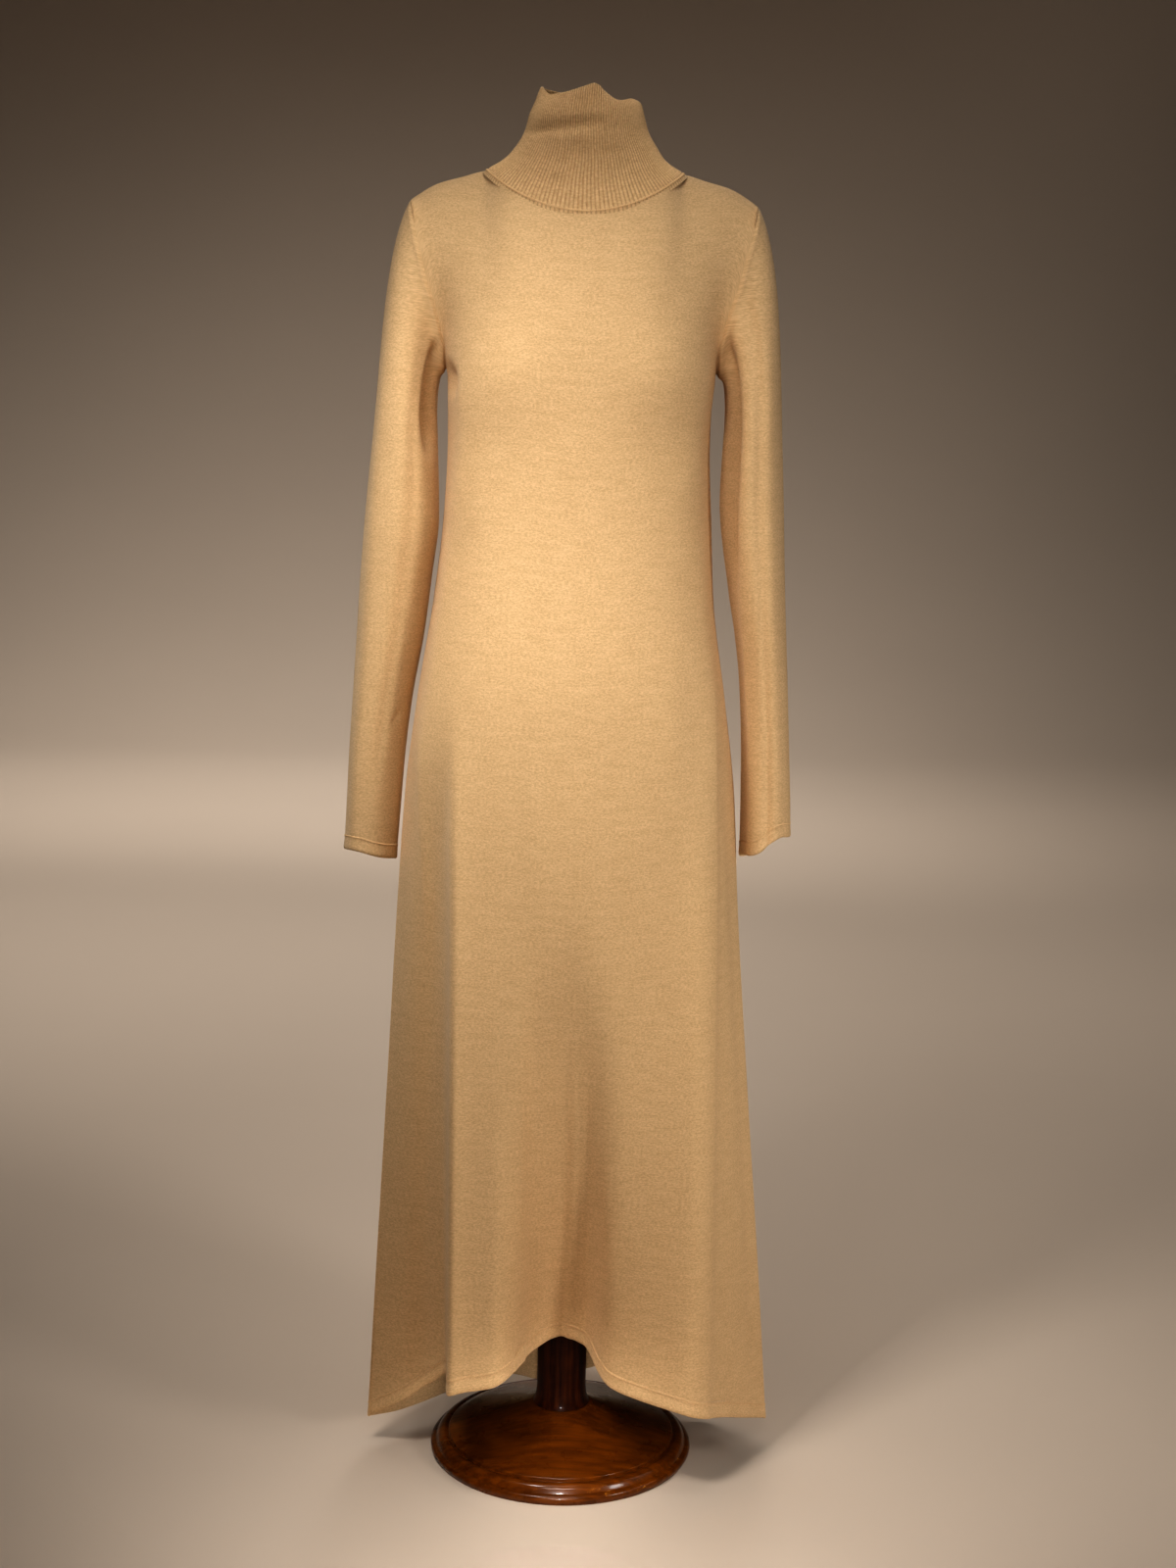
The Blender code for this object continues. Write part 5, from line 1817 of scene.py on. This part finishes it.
class StitchRow(GeometryTree):
    """Row of small plump stitches along a path."""

    def __init__(self) -> None:
        """Build the tree."""
        inputs: dict[str, tuple[str, object]] = {
            key.capitalize(): ("NodeSocketFloat", value)
            for key, value in asdict(StitchSizes()).items()}
        inputs["Seed"] = ("NodeSocketInt", StitchSizes.seed)
        super().__init__("stitch_row", {**inputs, "Material": ("NodeSocketMaterial", None)})
        sizes = self.entry
        curve = self.node("GeometryNodeMeshToCurve", None, {0: sizes["Geometry"]})
        spaced = self.node("GeometryNodeResampleCurve", {"mode": "LENGTH"},
                           {"Curve": curve, "Length": sizes["Spacing"]})
        grain = self.node("GeometryNodeMeshUVSphere", None,
                          {"Segments": 6, "Rings": 4, "Radius": 0.5})
        soft = self.node("GeometryNodeSetShadeSmooth", None, {0: grain})
        along = self.node("FunctionNodeAlignRotationToVector",
                          {"axis": "X", "pivot_axis": "AUTO"},
                          {"Vector": self.node("GeometryNodeInputTangent")})
        facing = self.node("FunctionNodeAlignRotationToVector",
                           {"axis": "Z", "pivot_axis": "X"},
                           {"Rotation": along, "Vector": self.attribute(OUT, "FLOAT_VECTOR")})
        chance = self.node("FunctionNodeRandomValue", {"data_type": "FLOAT"},
                           {2: -1.0, 3: 1.0, "Seed": sizes["Seed"]}).outputs[1]
        wobble = Term(self, chance) * sizes["Jitter"]
        turn = self.node("ShaderNodeCombineXYZ", None, {2: wobble + sizes["Slant"]})
        leaned = self.node("FunctionNodeRotateRotation", {"rotation_space": "LOCAL"},
                           {0: facing, 1: turn})
        grow = wobble + 1.0
        size = self.node("ShaderNodeCombineXYZ", None,
                         {0: grow * sizes["Length"], 1: grow * sizes["Width"],
                          2: sizes["Height"]})
        placed = self.node("GeometryNodeInstanceOnPoints", None,
                           {"Points": spaced, "Instance": soft, "Rotation": leaned,
                            "Scale": size})
        self.finish(placed)

    def sew(self, name: str, path: Grid, outs: Grid, sizes: StitchSizes, closed: bool,
            material: Material) -> Piece:
        """Sew a row of stitches.

        Args:
            name: Name of the piece.
            path: Points of the row.
            outs: Directions out of the cloth at those points.
            sizes: Sizes of the stitches.
            closed: Whether the row closes on itself.
            material: Finish of the stitches.

        Returns:
            The row as one mesh.
        """
        mesh = bpy.data.meshes.new(name)
        count = len(path)
        edges = [(i, i + 1) for i in range(count - 1)] + ([(count - 1, 0)] if closed else [])
        mesh.from_pydata([tuple(point) for point in path], edges, [])
        row = bpy.data.objects.new(name, mesh)
        bpy.context.scene.collection.objects.link(row)
        set_points(row, {OUT: outs})
        values = {key.capitalize(): value for key, value in asdict(sizes).items()}
        return self.apply(row, {**values, "Material": material})


# --- form, post and base ---

class FormLevel(NamedTuple):
    """Level section of the form."""

    z: float
    half: float
    front: float
    back: float
    power: float


@dataclass
class DressForm:
    """Smooth limbless form under the dress."""

    name: str = "linen_form"
    sides: int = 96
    rows: int = 150
    crisp: float = 40.0
    levels: tuple[FormLevel, ...] = tuple(FormLevel(*row) for row in (
        (0.62, 0.14, 0.084, 0.078, 2.2), (0.632, 0.148, 0.09, 0.084, 2.2),
        (0.7, 0.156, 0.098, 0.092, 2.2), (0.79, 0.159, 0.103, 0.094, 2.2),
        (0.86, 0.15, 0.103, 0.093, 2.2), (0.93, 0.134, 0.098, 0.083, 2.2),
        (1.0, 0.122, 0.092, 0.073, 2.2), (1.06, 0.123, 0.094, 0.073, 2.2),
        (1.13, 0.128, 0.103, 0.08, 2.3), (1.185, 0.131, 0.114, 0.086, 2.4),
        (1.235, 0.136, 0.106, 0.085, 2.3), (1.28, 0.144, 0.087, 0.078, 2.2),
        (1.315, 0.153, 0.066, 0.063, 2.1), (1.34, 0.16, 0.042, 0.042, 2.0),
        (1.355, 0.16, 0.028, 0.028, 2.0), (1.364, 0.156, 0.016, 0.016, 2.0),
        (1.37, 0.146, 0.012, 0.012, 2.0), (1.3765, 0.128, 0.015, 0.015, 2.0),
        (1.383, 0.108, 0.021, 0.021, 2.0), (1.3905, 0.087, 0.03, 0.03, 2.0),
        (1.4, 0.068, 0.042, 0.041, 2.0), (1.408, 0.057, 0.044, 0.043, 2.0),
        (1.421, 0.0505, 0.045, 0.044, 2.0), (1.436, 0.049, 0.044, 0.043, 2.0),
        (1.44, 0.045, 0.04, 0.039, 2.0),
    ))

    def build(self) -> Piece:
        """Loft the form through its levels and close both ends.

        Returns:
            The form.
        """
        knots = np.array([level.z for level in self.levels])
        z = np.sort(np.concatenate([np.linspace(knots[0], knots[-1], self.rows), knots[1:-1]]))
        angle = math.tau * np.arange(self.sides) / self.sides
        cosine, sine = np.cos(angle)[None], np.sin(angle)[None]
        half = read(self.levels, "half", z)[:, None]
        front, back = (read(self.levels, key, z)[:, None] for key in ("front", "back"))
        power = read(self.levels, "power", z)[:, None]
        x = half * np.copysign(np.abs(cosine) ** (2 / power), cosine)
        y = -np.where(sine > 0, front, back) * np.copysign(np.abs(sine) ** (2 / power), sine)
        rings = np.stack([x, y, np.broadcast_to(z[:, None], x.shape)], axis=-1)
        return closed_tube(self.name, rings, self.crisp)


@dataclass
class Turning:
    """Piece turned on a lathe from a profile of radius and height."""

    name: str
    profile: Profile
    steps: int = 160
    crisp: float = 28.0

    def build(self) -> Piece:
        """Turn the profile and close it at the axis.

        Returns:
            The turned piece.
        """
        angle = math.tau * np.arange(self.steps) / self.steps
        profile = np.array(self.profile)
        x, y = profile[:, :1] * np.cos(angle), profile[:, :1] * np.sin(angle)
        rings = np.stack([x, y, np.broadcast_to(profile[:, 1:], x.shape)], axis=-1)
        return closed_tube(self.name, rings, self.crisp)


def arc(centre: Pair, radius: float, start: float, end: float, steps: int = 6) -> Profile:
    """Points of an arc of a profile, with angles in degrees from outwards to up."""
    angles = np.radians(np.linspace(start, end, steps + 1))
    return tuple((centre[0] + radius * math.cos(a), centre[1] + radius * math.sin(a))
                 for a in angles)


POST_PROFILE = (
    (0.0255, 0.6196), (0.027, 0.618), (0.027, 0.08), (0.0272, 0.072),
    (0.0279, 0.065), (0.029, 0.06), (0.0304, 0.0565), (0.0312, 0.0552),
)

BASE_PROFILE = (
    ((0.032, 0.0546), (0.04, 0.0503), (0.048, 0.0465), (0.06, 0.042),
     (0.08, 0.0352), (0.096, 0.0305), (0.108, 0.0272), (0.116, 0.0252),
     (0.1205, 0.0238), (0.1232, 0.0226))
    + arc((0.1232, 0.0208), 0.0018, 80, 0)
    + ((0.1252, 0.019), (0.1262, 0.0186), (0.1272, 0.019))
    + arc((0.1305, 0.012), 0.0078, 112, 20)
    + ((0.1392, 0.0122), (0.1396, 0.0112))
    + arc((0.1405, 0.0062), 0.0046, 80, -40)
    + ((0.1432, 0.0012), (0.1425, 0.0))
)


# --- studio ---

@dataclass(frozen=True)
class SoftLight:
    """Rectangular soft light aimed at a point."""

    name: str
    place: Triple
    aim: Triple
    size: Pair
    spread: float  # degrees over which its grid lets light out
    power: float

    def build(self) -> None:
        """Hang the light."""
        lamp = bpy.data.lights.new(self.name, "AREA")
        lamp.shape = "RECTANGLE"
        lamp.size, lamp.size_y = self.size
        lamp.spread = math.radians(self.spread)
        lamp.energy = self.power
        holder = bpy.data.objects.new(self.name, lamp)
        holder.location = self.place
        way = Vector(self.aim) - Vector(self.place)
        holder.rotation_mode = "QUATERNION"
        holder.rotation_quaternion = way.to_track_quat("-Z", "Y")
        holder.visible_camera = False
        bpy.context.scene.collection.objects.link(holder)


@dataclass(frozen=True)
class StudioCamera:
    """Camera in front of the dress, level with its chest and turned down a little."""

    place: Triple = (0.0, -2.62, 1.28)
    yaw: float = 0.34558  # degrees to the right
    pitch: float = 11.28  # degrees down
    roll: float = 1.19441  # degrees anticlockwise
    focal_pixels: float = 2562.0
    long_side_pixels: float = 1600.0
    sensor: float = 36.0

    def build(self) -> None:
        """Make the scene's camera."""
        data = bpy.data.cameras.new("studio_camera")
        data.sensor_width = self.sensor
        data.lens = self.focal_pixels / self.long_side_pixels * self.sensor
        yaw, pitch, roll = map(math.radians, (self.yaw, self.pitch, self.roll))
        ahead = Vector((math.sin(yaw) * math.cos(pitch), math.cos(yaw) * math.cos(pitch),
                        -math.sin(pitch)))
        level = ahead.cross(Vector((0, 0, 1))).normalized()
        rise = level.cross(ahead)
        right = level * math.cos(roll) + rise * math.sin(roll)
        up = rise * math.cos(roll) - level * math.sin(roll)
        turn = Matrix((right, up, -ahead)).transposed()
        camera = bpy.data.objects.new("studio_camera", data)
        camera.matrix_world = Matrix.Translation(self.place) @ turn.to_4x4()
        bpy.context.scene.collection.objects.link(camera)
        bpy.context.scene.camera = camera


@dataclass
class Studio:
    """Plain pale floor that sweeps up behind, soft lights and the camera."""

    half_width: float = 7.0
    floor_front: float = -8.0
    floor_back: float = 4.2
    sweep: float = 2.2
    wall_top: float = 6.5
    air: Triple = (0.3, 0.25, 0.2)
    air_strength: float = 0.004
    look: str = "High Contrast"
    lights: tuple[SoftLight, ...] = tuple(SoftLight(*row) for row in (
        ("key_light", (-0.5, -0.8, 1.9), (0.0, 0.0, 0.42), (0.3, 0.3), 50.0, 1.22),
        ("left_chest_light", (-0.45, -1.5, 1.75), (-0.03, 0.0, 1.05), (0.4, 0.3), 40.0, 0.44),
        ("right_chest_light", (0.25, -1.6, 1.7), (0.03, 0.0, 1.15), (0.5, 0.3), 36.0, 0.31),
        ("side_light", (1.5, -1.2, 0.9), (0.15, 0.0, 0.5), (0.4, 0.4), 64.0, 1.9),
        ("top_light", (0.0, -0.3, 2.9), (0.0, 0.0, 0.0), (0.8, 0.8), 120.0, 3.9),
        ("pool_light", (0.0, -1.0, 0.8), (0.0, -0.5, 0.0), (0.5, 0.1), 50.0, 0.75),
        ("base_light", (0.0, -1.3, 0.45), (0.0, -0.09, 0.03), (0.1, 0.05), 14.0, 0.06),
        ("floor_light", (0.0, -1.6, 2.6), (0.0, -1.4, 0.0), (3.0, 0.6), 60.0, 2.0),
        ("right_floor_light", (1.6, -0.2, 0.9), (1.0, 0.0, 0.0), (0.6, 1.2), 90.0, 0.9),
        ("near_sweep_light", (-0.6, 1.6, 2.8), (-0.4, 3.0, 0.0), (3.0, 0.5), 140.0, 39.0),
        ("sweep_light", (-0.6, 2.4, 1.8), (-0.4, 4.6, 0.0), (3.0, 0.5), 90.0, 12.0),
        ("back_light", (0.3, 2.3, 1.8), (0.0, 0.0, 0.9), (0.6, 0.8), 46.0, 1.5),
        ("wall_light", (2.6, 4.2, 3.0), (1.6, 6.4, 2.1), (0.6, 0.4), 70.0, 0.45),
    ))

    def build(self) -> None:
        """Build the floor, the lights, the air's light and the camera."""
        bend = [(self.floor_back + self.sweep * math.sin(a),
                 self.sweep * (1.0 - math.cos(a)))
                for a in np.linspace(0.0, math.pi / 2, 24)]
        outline = [(self.floor_front, 0.0)] + bend + [(bend[-1][0], self.wall_top)]
        points = [(x, y, z) for y, z in outline for x in (-self.half_width, self.half_width)]
        faces = [(2 * i, 2 * i + 1, 2 * i + 3, 2 * i + 2) for i in range(len(outline) - 1)]
        floor = make_piece("studio_floor", np.array(points), faces)
        floor.data.materials.append(FloorFinish("pale_floor").material())
        world = bpy.data.worlds.new("studio_air")
        world.use_nodes = True
        background = world.node_tree.nodes["Background"]
        background.inputs["Color"].default_value = (*self.air, 1.0)
        background.inputs["Strength"].default_value = self.air_strength
        bpy.context.scene.world = world
        bpy.context.scene.view_settings.view_transform = "Standard"
        bpy.context.scene.view_settings.look = self.look
        for light in self.lights:
            light.build()
        StudioCamera().build()


# --- putting it together ---

def finish_piece(piece: Piece, material: Material, slot: str, *nodes: str) -> None:
    """Dress a piece, tie it to the body and hide the solids that it stands for.

    Args:
        piece: The piece.
        material: Its finish.
        slot: Material slot of the record; not used.
        nodes: Solids that it stands for.
    """
    piece.data.materials.clear()
    piece.data.materials.append(material)
    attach(piece, BODY)
    if nodes:
        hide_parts(*nodes)
    LOG.info("%s: %d faces", piece.name, len(piece.data.polygons))


def build_panels(stitches: StitchRow) -> None:
    """Build the front and the back with their turned hems.

    Args:
        stitches: Tree that sews the rows of stitches.
    """
    for panel, word, flat, area in (
            (BodyPanel("front_body", "front_hem", -1.0, FRONT_LINES, FRONT_CREASES), "front",
             (0.62, 1.36), 0.62),
            (BodyPanel("back_body", "back_hem", 1.0, BACK_LINES, BACK_CREASES), "back",
             (0.62, 1.38), 0.62)):
        body, hem = panel.build()
        knit = KnitFinish(f"camel_knit_{word}").material()
        hem_knit = KnitFinish(f"camel_hem_{word}", tone=BAND_TONE).material()
        finish_piece(body, knit, f"camel_knit_{word}", f"{word}_bodice", f"{word}_skirt")
        finish_piece(hem, hem_knit, f"camel_hem_{word}", f"hem_{word}")
        path, outs = panel.stitch_path()
        row = stitches.sew(f"{word}_hem_stitches", path, outs, StitchSizes(), False, hem_knit)
        finish_piece(row, hem_knit, f"camel_hem_{word}")


def build_sleeves(stitches: StitchRow) -> None:
    """Build both sleeves with their turned cuffs.

    Args:
        stitches: Tree that sews the rows of stitches.
    """
    for sleeve, word in (
            (Sleeve("left_sleeve", "left_cuff", 1.0, LEFT_LEVELS, 0.703, 0.681, 1.5, 0.024,
                    LEFT_CREASES, inner_power=1.9), "left"),
            (Sleeve("right_sleeve", "right_cuff", -1.0, RIGHT_LEVELS, 0.68, 0.67, 1.0,
                    0.016, RIGHT_CREASES), "right")):
        arm, cuff = sleeve.build()
        knit = KnitFinish(f"camel_knit_sleeve_{word}").material()
        cuff_knit = KnitFinish(f"camel_cuff_{word}", tone=BAND_TONE).material()
        finish_piece(arm, knit, f"camel_knit_sleeve_{word}", f"sleeve_{word}")
        finish_piece(cuff, cuff_knit, f"camel_cuff_{word}", f"cuff_{word}")
        path, outs = sleeve.stitch_path()
        row = stitches.sew(f"{word}_cuff_stitches", path, outs, StitchSizes(), True, cuff_knit)
        finish_piece(row, cuff_knit, f"camel_cuff_{word}")


def build_collar(ribs: RibTree, stitches: StitchRow) -> None:
    """Build the collar with its ridge of linking stitches.

    Args:
        ribs: Tree that raises the ribs.
        stitches: Tree that sews the rows of stitches.
    """
    collar = Collar()
    knit = KnitFinish("camel_rib", stitch=Stitch.RIB).material()
    piece = collar.build(ribs, knit)
    finish_piece(piece, knit, "camel_rib", "collar")
    # painted highlight: the linking stitches are painted paler than the yarn, so the raised ridge
    # reads as catching the light
    link_knit = KnitFinish("camel_link_painted_highlight", tone=1.12).material()
    path, outs = collar.link_path()
    row = stitches.sew("linking_stitches", path, outs,
                       StitchSizes(spacing=0.0018, length=0.0034, width=0.0016, height=0.0008,
                                   slant=1.1),
                       True, link_knit)
    finish_piece(row, link_knit, "camel_rib")


def build_stand() -> None:
    """Build the form, the post and the base."""
    finish_piece(DressForm().build(), LinenFinish("form_linen").material(), "form_cover",
                 "form_torso")
    finish_piece(Turning("turned_post", POST_PROFILE, 96).build(),
                 VarnishFinish("post_varnish", coat=0.12, gloss=0.34).material(),
                 "dark_post_wood", "post")
    finish_piece(Turning("turned_base", BASE_PROFILE).build(),
                 VarnishFinish("base_varnish", grain=Grain.LEVEL, dark=(0.062, 0.016, 0.0009),
                               warm=(0.15, 0.041, 0.001), wear_low=0.58,
                               wear_height=0.018, coat=0.3).material(),
                 "dark_base_wood", "base")


def main() -> None:
    """Build everything in order."""
    logging.basicConfig(level=logging.INFO, format="%(name)s: %(message)s")
    stitches = StitchRow()
    build_panels(stitches)
    build_sleeves(stitches)
    build_collar(RibTree(), stitches)
    build_stand()
    Studio().build()


if __name__ == "__main__":
    main()
